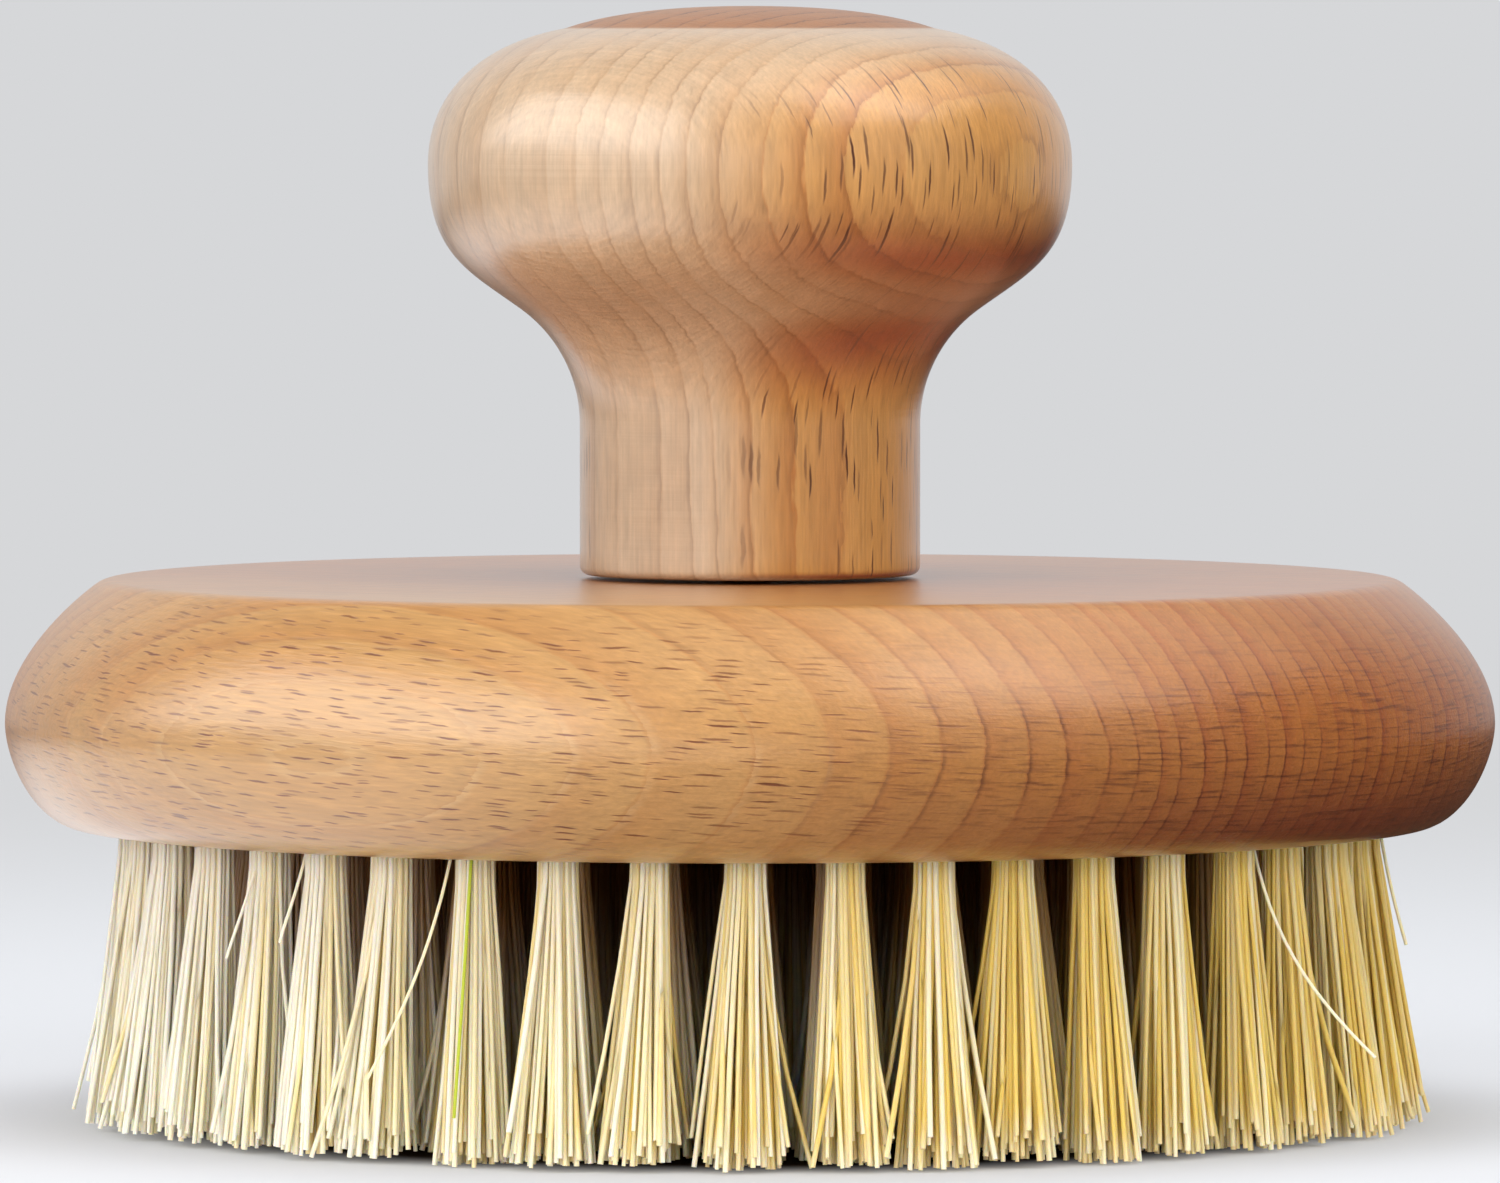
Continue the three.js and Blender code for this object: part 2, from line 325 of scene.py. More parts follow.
def make_table():
    """A disc that is lit as a table near the brush and fades into the even background further off. Under the
    brush it carries a painted shadow. In reflections it is painted dark near the brush, apart from a painted
    glow on its left side, and from below it is see-through."""
    bpy.ops.mesh.primitive_circle_add(vertices=TABLE_SIDES, radius=TABLE_RADIUS, fill_type="NGON")
    table = bpy.context.object
    table.name = "pale_table"
    material = bpy.data.materials.new("pale_table")
    material.use_nodes = True
    tree = material.node_tree
    tree.nodes.clear()
    place = object_place(tree)
    far = add_node(tree, "ShaderNodeEmission", {
        "Color": BACKGROUND, "Strength": backdrop_strength(tree, place),
    })
    out = length(tree, place)
    # Painted shadow: the table is darker under the brush
    lit = smooth_step(tree, out, *PAINTED_TUFT_SHADOW)
    mirrored = add_node(tree, "ShaderNodeLightPath").outputs["Is Glossy Ray"]
    # Painted glow: the table's left side shines in reflections
    leftward = dot(tree, vector_calc(tree, "NORMALIZE", place), towards(-90))
    gleam = times(tree, mirrored, smooth_step(tree, leftward, *WINDOW_SIDE))
    shown = times(tree, lit, minus(tree, 1, mirrored))
    near = add_node(tree, "ShaderNodeBsdfPrincipled", {
        "Base Color": blend(tree, shown, PAINTED_SHADOW_COLOR, TABLE_COLOR),
        "Specular IOR Level": 0.0,
        "Emission Color": BACKGROUND,
        "Emission Strength": times_plus(tree, shown, TABLE_GLOW, times(tree, gleam, GLEAM_GLOW)),
    })
    fade = smooth_step(tree, out, NEAR_TABLE, FAR_TABLE)
    top = add_node(tree, "ShaderNodeMixShader", {0: fade, 1: near.outputs[0], 2: far.outputs[0]})
    below = add_node(tree, "ShaderNodeNewGeometry").outputs["Backfacing"]
    glass = add_node(tree, "ShaderNodeBsdfTransparent")
    surface = add_node(tree, "ShaderNodeMixShader", {0: below, 1: top.outputs[0], 2: glass.outputs[0]})
    add_node(tree, "ShaderNodeOutputMaterial", {"Surface": surface.outputs[0]})
    table.data.materials.append(material)
    return table


table = make_table()
print(f"table {2 * TABLE_RADIUS:.0f} m across")

# %% Windows and gleams
HIGH_RIGHT = towards(95, 58)


def make_lamp(name, place, facing, width, height, power, mirrored=True, lighting=True):
    data = bpy.data.lights.new(name, "AREA")
    data.shape = "RECTANGLE"
    data.size = width
    data.size_y = height
    data.energy = power
    lamp = place_object(name, data)
    lamp.location = place
    lamp.rotation_euler = facing.to_track_quat("-Z", "Y").to_euler()
    lamp.visible_glossy = mirrored
    lamp.visible_diffuse = lighting
    return lamp


def make_window(name, azimuth, distance, low, high, width, power, **use):
    """An upright soft light with its lower and upper edge at these heights, facing the brush."""
    place = towards(azimuth) * distance + Vector((0, 0, (low + high) / 2))
    return make_lamp(name, place, -towards(azimuth), width, high - low, power, **use)


lamps = [
    make_window("left_window", azimuth=-52, distance=1.15, low=0.03, high=1.3, width=0.85, power=7.8,
                mirrored=False),
    make_window("left_gleam", azimuth=-68, distance=1.15, low=0.35, high=1.6, width=2.1, power=21,
                lighting=False),
    make_window("low_gleam", azimuth=-75, distance=1.15, low=0.0, high=0.35, width=2.4, power=1.4,
                lighting=False),
    make_window("right_window", azimuth=47, distance=1.25, low=0.1, high=1.0, width=1.5, power=9,
                mirrored=False),
    make_window("right_gleam", azimuth=56, distance=1.25, low=1.0, high=3.6, width=1.25, power=17,
                lighting=False),
    make_window("front_wall", azimuth=-14, distance=1.6, low=0, high=0.6, width=1.2, power=10,
                mirrored=False),
    make_lamp("ceiling", Vector((0.1, -0.1, 1.5)), -towards(0, 90), width=1.4, height=1.4, power=19,
              mirrored=False),
    make_lamp("ceiling_gleam", HIGH_RIGHT * 1.6, -HIGH_RIGHT, width=1.4, height=1.2, power=5,
              lighting=False),
]
print("lamps", [lamp.name for lamp in lamps])

# %% [markdown]
# Growth rings
#
# A tree lays down one ring each year: pale wood in spring, darker wood towards autumn, then a sudden start of
# the next spring. A picture could only be wrapped around a turned piece, so the wood is worked out in space
# instead, and every curve cuts through it as a lathe tool cuts through a real blank. This first group
# measures how deep a point lies under the bark side, on rings that bend around a far-off pith and wander.

# %% Noise in the wood
# So many marks to the metre from bark to pith, across that, and along the grain
RING_DRIFT = (45, 45, 14)
RING_FEATHER = (300, 2000, 320)
RING_BREAKS = (60, 400, 90)
DARK_PATCHES = (110, 110, 30)
FLECK_BEND = (40, 300, 400)
RAY_LINES = (260, 4200, 400)
FINE_GRAIN = (3500, 3500, 160)
STREAKS = (800, 800, 35)


def noise(tree, place, scale, detail):
    inputs = {"Vector": place, "Scale": scale, "Detail": detail}
    return add_node(tree, "ShaderNodeTexNoise", inputs).outputs["Fac"]


def wood_noise(tree, given, marks):
    return noise(tree, vector_calc(tree, "MULTIPLY", given["Wood Place"], marks), 1, detail=3)


# %% Depth under the bark


def make_bark_depth():
    tree, given, result = new_group("Depth under the bark", "ShaderNodeTree", {
        "Wood Place": VECTOR, "Pith Distance": VALUE, "Bark Reach": VALUE, "Wander": VALUE, "Feather": VALUE,
    }, {"Depth": VALUE})
    axes = separate(tree, given["Wood Place"])
    from_pith = plus(tree, axes["X"], given["Pith Distance"])
    across = times(tree, axes["Y"], axes["Y"])
    radius = calc(tree, "SQRT", times_plus(tree, from_pith, from_pith, across))
    slow = minus(tree, wood_noise(tree, given, RING_DRIFT), 0.5)
    rough = minus(tree, wood_noise(tree, given, RING_FEATHER), 0.5)
    wander = times_plus(tree, rough, given["Feather"], times(tree, slow, given["Wander"]))
    bark = plus(tree, given["Pith Distance"], given["Bark Reach"])
    tree.links.new(plus(tree, minus(tree, bark, radius), wander), result["Depth"])
    return tree


bark_depth = make_bark_depth()
print(bark_depth.name, len(bark_depth.nodes), "nodes")

# %% [markdown]
# The figure of beech
#
# Beech is known by its rays, thin sheets of cells that run from the pith outwards. Where a surface faces the
# bark they show as short dark dashes along the grain, and on end grain as fine lines across the rings. The
# dashes here are cells of a Voronoi texture that is squeezed thin across the grain, and the lines are noise
# that is drawn out along the radius. One group holds rings, rays, fine grain and the darker end grain, and
# both beech finishes use it.

# %% Ray flecks
FLECK_SWERVE = 0.4 * MM


def ray_flecks(tree, given):
    """Thin spindles along the grain, each with its own size and strength, in a share of the cells."""
    axes = separate(tree, given["Wood Place"])
    bent = times_plus(tree, wood_noise(tree, given, FLECK_BEND), FLECK_SWERVE, axes["Y"])
    place = combine(tree, ratio(tree, bent, given["Fleck Width"]),
                    ratio(tree, axes["Z"], given["Fleck Length"]), 0)
    cells = add_node(tree, "ShaderNodeTexVoronoi", {"Vector": place, "Scale": 1}, voronoi_dimensions="2D")
    luck = add_node(tree, "ShaderNodeSeparateColor", {0: cells.outputs["Color"]}).outputs
    size = times_plus(tree, luck[1], 0.18, 0.13)
    reach = ratio(tree, cells.outputs["Distance"], size)
    core = minus(tree, 1, smooth_step(tree, reach, 0.45, 1.0))
    kept = calc(tree, "LESS_THAN", luck[0], given["Fleck Share"])
    return times(tree, core, kept, times_plus(tree, luck[2], 0.6, 0.4))


# %% Ring tones


def ring_tone(tree, given):
    """Dark autumn wood that fades into pale spring wood, deeper in some years and calm towards the bark."""
    share = calc(tree, "FRACT", given["Years"])
    year = add_node(tree, "ShaderNodeTexWhiteNoise", {"W": calc(tree, "FLOOR", given["Years"])},
                    noise_dimensions="1D").outputs["Value"]
    depth = times_plus(tree, year, 0.7, 0.3)
    fading = calc(tree, "POWER", minus(tree, 1, share), 1.6)
    band = calc(tree, "MAXIMUM", fading, smooth_step(tree, share, 0.93, 1.0))
    contrast = times(tree, given["Ring Contrast"], plus(tree, given["Warm Side"], 0.7))
    calm = times_plus(tree, smooth_step(tree, given["Bark Face"], 0.75, 1.0), -0.6, 1.0)
    return times(tree, band, depth, contrast, calm)


def ring_edge(tree, given):
    """A thin broken line where one ring meets the next."""
    share = calc(tree, "FRACT", given["Years"])
    line = minus(tree, 1, smooth_step(tree, share, 0.02, 0.13))
    broken = smooth_step(tree, wood_noise(tree, given, RING_BREAKS), 0.3, 0.65)
    return times(tree, line, broken, given["Line Contrast"])


# %% Tints of the wood


def tinted_rings(tree, given):
    """Rings with darker patches, tinted on the warm side and on end grain, with painted shade on surfaces
    that face down.
    """
    tone = blend(tree, ring_tone(tree, given), given["Spring Wood"], given["Autumn Wood"])
    patches = smooth_step(tree, wood_noise(tree, given, DARK_PATCHES), 0.45, 0.8)
    tone = blend(tree, times(tree, patches, 0.3), tone, given["Autumn Wood"])
    tone = blend(tree, given["Warm Side"], tone, given["Warm Tint"], "MULTIPLY")
    tone = blend(tree, given["End Grain"], tone, given["End Tint"], "MULTIPLY")
    # Painted shade: surfaces that face down are darkened, more so on the warm side
    under_shade = times(tree, given["Underside"], times_plus(tree, given["Warm Side"], 0.85, 0.15))
    return blend(tree, under_shade, tone, given["Painted Under Shade"], "MULTIPLY")


def with_ring_edges(tree, given, tone):
    """Lines between the rings, dark across the grain and pale where the surface faces the bark."""
    towards_bark = smooth_step(tree, given["Bark Face"], 0.6, 0.9)
    edge = ring_edge(tree, given)
    dark = times(tree, times_plus(tree, given["End Grain"], 0.7, 0.3), minus(tree, 1, towards_bark))
    tone = blend(tree, times(tree, edge, dark), tone, given["Ray Fleck"], "MULTIPLY")
    pale = times(tree, towards_bark, 0.35)
    return blend(tree, times(tree, edge, pale), tone, given["Pale Edge"])


# %% Beech figure


def make_beech_figure():
    tree, given, result = new_group("Beech figure", "ShaderNodeTree", {
        "Wood Place": VECTOR, "Years": VALUE, "Bark Face": VALUE, "End Grain": VALUE, "Warm Side": VALUE,
        "Underside": VALUE, "Ring Contrast": VALUE, "Line Contrast": VALUE, "Ray Lines": VALUE,
        "Fleck Length": VALUE, "Fleck Width": VALUE, "Fleck Share": VALUE,
        "Spring Wood": COLOR, "Autumn Wood": COLOR, "Ray Fleck": COLOR, "Warm Tint": COLOR, "End Tint": COLOR,
        "Painted Under Shade": COLOR, "Pale Edge": COLOR,
    }, {"Color": COLOR, "Height": VALUE, "Dullness": VALUE, "Oil": VALUE})
    tone = with_ring_edges(tree, given, tinted_rings(tree, given))
    rays = wood_noise(tree, given, RAY_LINES)
    dark_rays = times(tree, smooth_step(tree, rays, 0.45, 0.75), given["Ray Lines"], given["End Grain"])
    tone = blend(tree, dark_rays, tone, given["Ray Fleck"], "MULTIPLY")
    flecks = times(tree, ray_flecks(tree, given), smooth_step(tree, given["Bark Face"], 0.4, 0.75))
    tone = blend(tree, flecks, tone, given["Ray Fleck"])
    fine = wood_noise(tree, given, FINE_GRAIN)
    streaks = wood_noise(tree, given, STREAKS)
    shade = times_plus(tree, streaks, 0.3, times_plus(tree, rays, 0.36, 0.44))
    shade = times_plus(tree, fine, 0.44, shade)
    for name, value in {
        "Color": shaded(tree, tone, shade),
        "Height": times_plus(tree, flecks, -0.9, times_plus(tree, rays, 0.8, fine)),
        "Dullness": times_plus(tree, given["End Grain"], 0.1, times(tree, fine, 0.12)),
        "Oil": times_plus(tree, given["End Grain"], -0.6, 1.0),
    }.items():
        tree.links.new(value, result[name])
    return tree


beech_figure = make_beech_figure()
print(beech_figure.name, len(beech_figure.nodes), "nodes")

# %% [markdown]
# Two beech finishes
#
# The knob was turned along the grain and the block across it, so the same groups are placed in two materials
# with other directions. On the knob the bark side lies towards the right front, and on the block towards the
# left front, where the rings close into ovals. The widths of the rings are listed from the bark inwards and
# drawn into a curve that turns depth into years. Oil leaves a satin skin: a thin clear coat over duller wood.

# %% Ring calendar


def ring_calendar(tree, depth, widths):
    """Turns a depth under the bark into years, with each year as wide as its ring in millimetres."""
    span = sum(widths)
    node = add_node(tree, "ShaderNodeFloatCurve", {"Value": ratio(tree, depth, span * MM)})
    curve = node.mapping.curves[0]
    reached = 0.0
    for year, width in enumerate(widths[:-1], start=1):
        reached += width
        curve.points.new(reached / span, year / len(widths))
    for point in curve.points:
        point.handle_type = "VECTOR"
    node.mapping.update()
    return times(tree, node.outputs[0], float(len(widths)))


# %% Starting a finish


def new_finish(name):
    """A new material, its node tree and its main shader."""
    material = bpy.data.materials.new(name)
    material.use_nodes = True
    return material, material.node_tree, material.node_tree.nodes["Principled BSDF"]


def bumped(tree, height, strength, depth):
    """A normal that follows a relief of this depth."""
    inputs = {"Strength": strength, "Distance": depth, "Height": height}
    return add_node(tree, "ShaderNodeBump", inputs).outputs["Normal"]


# %% Beech material
TURNING_MARKS = 1800
RING_WANDER = 3.5 * MM


def make_beech(name, bark, grain, centre, reach, rings, pith, feather, warm, end, oil, figure):
    """Beech with its bark side and its grain in these directions, and its rings listed from the bark inwards.
    Two rules say where it is warm and where it is end grain: a measure, and the values where that starts and
    is full."""
    material, tree, shader = new_finish(name)
    place = vector_calc(tree, "SUBTRACT", object_place(tree), centre)
    normal = add_node(tree, "ShaderNodeNewGeometry").outputs["Normal"]
    measures = {
        "bark place": dot(tree, place, bark),
        "bark facing": dot(tree, normal, bark),
        "grain place": dot(tree, place, grain),
        "grain facing": calc(tree, "ABSOLUTE", dot(tree, normal, grain)),
    }
    across = dot(tree, place, grain.cross(bark))
    wood = combine(tree, measures["bark place"], across, measures["grain place"])
    depth = add_node(tree, "ShaderNodeGroup", {
        "Wood Place": wood, "Pith Distance": pith, "Bark Reach": reach, "Wander": RING_WANDER,
        "Feather": feather,
    }, node_tree=bark_depth)
    beech = add_node(tree, "ShaderNodeGroup", {
        "Wood Place": wood,
        "Years": ring_calendar(tree, depth.outputs["Depth"], rings),
        "Bark Face": calc(tree, "ABSOLUTE", measures["bark facing"]),
        "Warm Side": smooth_step(tree, measures[warm[0]], *warm[1:]),
        "End Grain": smooth_step(tree, measures[end[0]], *end[1:]),
        # Down-facing surfaces, which the group darkens as painted shade
        "Underside": smooth_step(tree, dot(tree, normal, -UP), 0.0, 0.75),
        **figure,
    }, node_tree=beech_figure).outputs
    rows = combine(tree, 0, 0, times(tree, separate(tree, place)["Z"], TURNING_MARKS))
    relief = times_plus(tree, noise(tree, rows, 1, detail=2), 0.7, beech["Height"])
    feed(tree, shader, {
        "Base Color": beech["Color"],
        "Roughness": plus(tree, beech["Dullness"], 0.3),
        "Normal": bumped(tree, relief, strength=0.3, depth=0.2 * MM),
        "Coat Weight": times(tree, beech["Oil"], oil),
        "Coat Roughness": 0.28,
        "Coat IOR": 1.7,
        "Specular IOR Level": 0.7,
    })
    return material


# %% Knob beech
DOME_EDGE = 44.1
DOME_SEAM = 0.1 * MM
KNOB_RINGS = (
    2.0, 2.2, 2.2, 2.2, 2.3, 2.2, 1.9, 2.2, 2.4, 1.8, 2.6, 4.3, 3.3, 3.8, 4.3, 3.8, 3.7, 3.8, 4.0,
)
dome_height = KNOB_FOOT + DOME_EDGE * MM

knob_beech = make_beech(
    "knob_beech", bark=towards(54), grain=UP, centre=Vector((0, 0, 0)), reach=BULB_RADIUS, rings=KNOB_RINGS,
    pith=0.11, feather=0.0006, warm=("bark facing", 0.3, 0.8), oil=1.0,
    end=("grain place", dome_height - DOME_SEAM, dome_height + DOME_SEAM),
    figure={
        "Ring Contrast": 0.6,
        "Line Contrast": 0.9,
        "Ray Lines": 0.25,
        "Fleck Length": 0.008,
        "Fleck Width": 0.0005,
        "Fleck Share": 0.7,
        "Spring Wood": color(198, 167, 133),
        "Autumn Wood": color(175, 128, 80),
        "Ray Fleck": color(80, 34, 10),
        "Warm Tint": color(255, 217, 140),
        "End Tint": color(206, 164, 122),
        # Painted shade under the bulb
        "Painted Under Shade": color(170, 80, 18),
        "Pale Edge": color(123, 73, 31),
    },
)
print("knob rings", len(KNOB_RINGS))

# %% Block beech
RIM_LINE = 8.2
BLOCK_RINGS = (
    1.9, 2.4, 2.8, 4.3, 3.5, 3.1, 3.1, 2.6, 2.8, 2.4, 3.0, 2.4, 2.1, 1.8, 2.3, 1.9, 2.0, 2.3, 1.7, 2.1, 1.9,
    2.2, 2.0, 1.7, 2.1, 2.4, 1.9, 2.2, 2.6, 2.4, 3.0, 2.8, 2.5, 2.7, 3.1, 2.6, 2.9, 3.3, 2.7, 3.0, 2.6, 2.8,
)

block_beech = make_beech(
    "block_beech", bark=towards(-35), grain=towards(55, -4), centre=Vector((0, 0, UNDERSIDE + RIM_LINE * MM)),
    reach=BLOCK_RADIUS, rings=BLOCK_RINGS, pith=0.18, feather=0.00035,
    warm=("bark place", 0.06, 0.0), end=("grain facing", 0.4, 0.95), oil=0.8,
    figure={
        "Ring Contrast": 0.65,
        "Line Contrast": 0.6,
        "Ray Lines": 0.7,
        "Fleck Length": 0.0046,
        "Fleck Width": 0.00038,
        "Fleck Share": 0.9,
        "Spring Wood": color(186, 139, 80),
        "Autumn Wood": color(168, 104, 40),
        "Ray Fleck": color(110, 54, 18),
        "Warm Tint": color(236, 206, 172),
        "End Tint": color(230, 203, 118),
        # Painted shade on the rim's underside
        "Painted Under Shade": color(178, 130, 86),
        "Pale Edge": color(221, 186, 135),
    },
)
print("block rings", len(BLOCK_RINGS))

# %% [markdown]
# Agave fibre
#
# The tufts are cut leaf fibre, pale cream outside, and light passes through each fibre. Inside each tuft and
# towards the brush's right side the fibres are painted more golden, and the roots of the inner rings darker:
# both are painted shade. No two fibres are alike, so each carries its own tint, a number from 0 to 1 that the
# mesh stores as an attribute. Most lie between cream and straw, and the last few numbers are kept for a green
# fibre and a stained one. Blue light is let furthest into the fibre, which keeps its shaded side warm.

# %% Fibre material
FIBRE_TINTS = {
    0.0: color(245, 240, 222),
    0.3: color(244, 234, 202),
    0.6: color(241, 225, 170),
    0.9: color(232, 200, 108),
    0.92: color(190, 200, 62),
    0.95: color(190, 200, 62),
    0.97: color(146, 70, 32),
}
# Painted shade: the roots of the inner rings are darkened towards this colour
PAINTED_ROOT_SHADE = color(150, 100, 48)
CUT_TINT = color(250, 243, 222)
FIBRE_STREAKS = (4000, 4000, 160)


def tint_ramp(tree, tint):
    ramp = add_node(tree, "ShaderNodeValToRGB", {"Fac": tint})
    stops = ramp.color_ramp.elements
    for place in list(FIBRE_TINTS)[2:]:
        stops.new(place)
    for stop, (place, shade) in zip(stops, FIBRE_TINTS.items()):
        stop.position = place
        stop.color = shade
    return ramp.outputs["Color"]


def make_fibre():
    material, tree, shader = new_finish("agave_fibre")
    tint, along, inside = [
        add_node(tree, "ShaderNodeAttribute", attribute_name=name).outputs["Fac"]
        for name in ("fibre_tint", "fibre_along", "fibre_root_shade")
    ]
    streak = noise(tree, vector_calc(tree, "MULTIPLY", object_place(tree), FIBRE_STREAKS), 1, detail=2)
    body = shaded(tree, tint_ramp(tree, tint), times_plus(tree, streak, 0.24, 0.86))
    # Painted shade near the roots, as much as the ring's share says
    rooted = minus(tree, 1, smooth_step(tree, along, 0.3, 0.9))
    body = blend(tree, times(tree, rooted, inside), body, PAINTED_ROOT_SHADE, "MULTIPLY")
    cut_end = times(tree, smooth_step(tree, along, 0.9, 1.0), 0.35)
    feed(tree, shader, {
        "Base Color": blend(tree, cut_end, body, CUT_TINT),
        "Roughness": times_plus(tree, streak, 0.2, 0.4),
        "Normal": bumped(tree, streak, strength=0.2, depth=0.1 * MM),
        "Specular IOR Level": 0.4,
        "Subsurface Weight": 0.6,
        "Subsurface Radius": (0.3, 0.45, 1.0),
        "Subsurface Scale": 0.3 * MM,
    })
    return material


agave_fibre = make_fibre()
print("tints", len(FIBRE_TINTS))

# %% [markdown]
# Steel
#
# Screw and staples are drawn wire: grey metal with fine scratches and a few duller patches of old polish.

# %% Steel material
SCRATCHES = (900, 900, 6000)
POLISH_PATCHES = 400
BRIGHT_STEEL = color(206, 206, 204)
DULL_STEEL = color(160, 158, 154)


def make_steel():
    material, tree, shader = new_finish("bright_steel")
    place = object_place(tree)
    scratch = noise(tree, vector_calc(tree, "MULTIPLY", place, SCRATCHES), 1, detail=3)
    patch = noise(tree, place, POLISH_PATCHES, detail=2)
    feed(tree, shader, {
        "Base Color": blend(tree, smooth_step(tree, patch, 0.4, 0.7), BRIGHT_STEEL, DULL_STEEL),
        "Roughness": times_plus(tree, scratch, 0.3, 0.18),
        "Normal": bumped(tree, scratch, strength=0.15, depth=0.1 * MM),
        "Metallic": 1.0,
    })
    return material


bright_steel = make_steel()
print("steel ready")

# %% [markdown]
# Turning on a lathe
#
# Knob, block and screw are all turned: one outline swept round an axis. A Geometry Nodes tree makes the rule
# plain: every row of a grid takes its radius and height from one point of the outline, and every column takes
# its angle. The screw also gets a thread, a small ridge whose height winds round with the angle.

# %% Curves for outlines


def bezier(start, start_pull, end_pull, end, steps):
    points = []
    for step in range(steps + 1):
        t = step / steps
        shares = ((1 - t) ** 3, 3 * t * (1 - t) ** 2, 3 * t * t * (1 - t), t ** 3)
        corners = (start, start_pull, end_pull, end)
        points.append(tuple(sum(s * c[axis] for s, c in zip(shares, corners)) for axis in range(len(start))))
    return points


def arc(centre, radius, start, end, steps):
    angles = [math.radians(start + (end - start) * step / steps) for step in range(steps + 1)]
    return [(centre[0] + radius * math.cos(a), centre[1] + radius * math.sin(a)) for a in angles]


def softened(before, corner, after, size, steps=5):
    """Points that round a corner off over a length on both sides of it."""
    corner = Vector(corner)
    start = corner + (Vector(before) - corner).normalized() * size
    end = corner + (Vector(after) - corner).normalized() * size
    return bezier(start, start.lerp(corner, 0.6), end.lerp(corner, 0.6), end, steps)


# %% Pieces that every tree has


def point_place(tree):
    return add_node(tree, "GeometryNodeInputPosition").outputs[0]


def move_points(tree, shape, place):
    return add_node(tree, "GeometryNodeSetPosition", {"Geometry": shape, "Position": place}).outputs[0]


def smooth_faces(tree, shape):
    return add_node(tree, "GeometryNodeSetShadeSmooth", {"Geometry": shape}).outputs[0]


def end_tree(tree, given, result, shape):
    """Ends a tree with real geometry in its finish."""
    real = add_node(tree, "GeometryNodeRealizeInstances", {"Geometry": shape}).outputs[0]
    done = add_node(tree, "GeometryNodeSetMaterial", {"Geometry": real, "Material": given["Finish"]})
    tree.links.new(done.outputs[0], result["Geometry"])
    return tree


# %% Lathe tree
SEAM_GAP = 1e-6


def thread_ridge(tree, given, height, angle):
    """The height of a winding ridge above the core, between two heights along the axis."""
    winds = minus(tree, ratio(tree, height, given["Thread Pitch"]), ratio(tree, angle, math.tau))
    ridge = smooth_step(tree, calc(tree, "PINGPONG", winds, 0.5), 0.24, 0.48)
    inside = times(tree, calc(tree, "GREATER_THAN", height, given["Thread From"]),
                   calc(tree, "LESS_THAN", height, given["Thread To"]))
    return times(tree, ridge, inside, given["Thread Depth"])


def make_lathe_tree():
    tree, given, result = new_group("Turned on a lathe", "GeometryNodeTree", {
        "Outline": SHAPE, "Outline Points": COUNT, "Facets": COUNT, "Thread Depth": VALUE,
        "Thread Pitch": VALUE, "Thread From": VALUE, "Thread To": VALUE, "Finish": FINISH,
    }, {"Geometry": SHAPE})
    columns = plus(tree, given["Facets"], 1)
    grid = add_node(tree, "GeometryNodeMeshGrid", {
        "Vertices X": given["Outline Points"], "Vertices Y": columns,
    }).outputs["Mesh"]
    index = add_node(tree, "GeometryNodeInputIndex").outputs[0]
    row = calc(tree, "FLOOR", ratio(tree, plus(tree, index, 0.5), columns))
    column = minus(tree, index, times(tree, row, columns))
    angle = times(tree, ratio(tree, column, given["Facets"]), math.tau)
    sample = add_node(tree, "GeometryNodeSampleIndex", {
        "Geometry": given["Outline"], "Value": point_place(tree), "Index": row,
    }, data_type="FLOAT_VECTOR", domain="POINT")
    point = separate(tree, sample.outputs[0])
    radius = plus(tree, point["X"], thread_ridge(tree, given, point["Z"], angle))
    place = combine(tree, times(tree, radius, calc(tree, "COSINE", angle)),
                    times(tree, radius, calc(tree, "SINE", angle)), point["Z"])
    closed = add_node(tree, "GeometryNodeMergeByDistance", {
        "Geometry": move_points(tree, grid, place), "Distance": SEAM_GAP,
    }).outputs[0]
    return end_tree(tree, given, result, smooth_faces(tree, closed))


lathe_tree = make_lathe_tree()
print(lathe_tree.name, len(lathe_tree.nodes), "nodes")

# %% [markdown]
# Running a tree
#
# A modifier runs such a tree on a start mesh. Its inputs are set through the identifiers of their sockets,
# and the evaluated result is kept as a plain mesh, so that nothing is left to be computed later. The start of
# a turned piece is its outline, a chain of vertices whose X is the radius.

# %% Running a tree


def run_tree(name, start, tree, values):
    """Runs a tree on a start mesh and keeps the result as a plain mesh object."""
    holder = place_object(name + "_start", start)
    modifier = holder.modifiers.new("tree", "NODES")
    modifier.node_group = tree
    for item in tree.interface.items_tree:
        if item.in_out == "INPUT" and item.name in values:
            modifier[item.identifier] = values[item.name]
    graph = bpy.context.evaluated_depsgraph_get()
    mesh = bpy.data.meshes.new_from_object(holder.evaluated_get(graph))
    mesh.name = name
    bpy.data.objects.remove(holder)
    return place_object(name, mesh)


def points_mesh(name, points):
    mesh = bpy.data.meshes.new(name)
    mesh.from_pydata(points, [], [])
    return mesh


# %% Turning and fitting
CREASE = math.radians(32)
SAME_POINT = 1e-7


def tidy_surface(piece):
    """Turns the faces of a closed mesh outwards and keeps its real edges sharp."""
    shape = bmesh.new()
    shape.from_mesh(piece.data)
    bmesh.ops.remove_doubles(shape, verts=shape.verts, dist=SAME_POINT)
    bmesh.ops.recalc_face_normals(shape, faces=shape.faces)
    for edge in shape.edges:
        edge.smooth = edge.calc_face_angle(math.pi) < CREASE
    shape.to_mesh(piece.data)
    shape.free()


def turn(name, outline, foot, facets, finish, **thread):
    """Turns an outline of (radius, height above the foot) points, in millimetres."""
    chain = [(radius * MM, 0, foot + height * MM) for radius, height in outline]
    values = {"Outline Points": len(outline), "Facets": facets, "Finish": finish, "Thread Pitch": MM}
    values.update({socket.replace("_", " ").title(): value for socket, value in thread.items()})
    piece = run_tree(name, points_mesh(name + "_outline", chain), lathe_tree, values)
    tidy_surface(piece)
    return piece


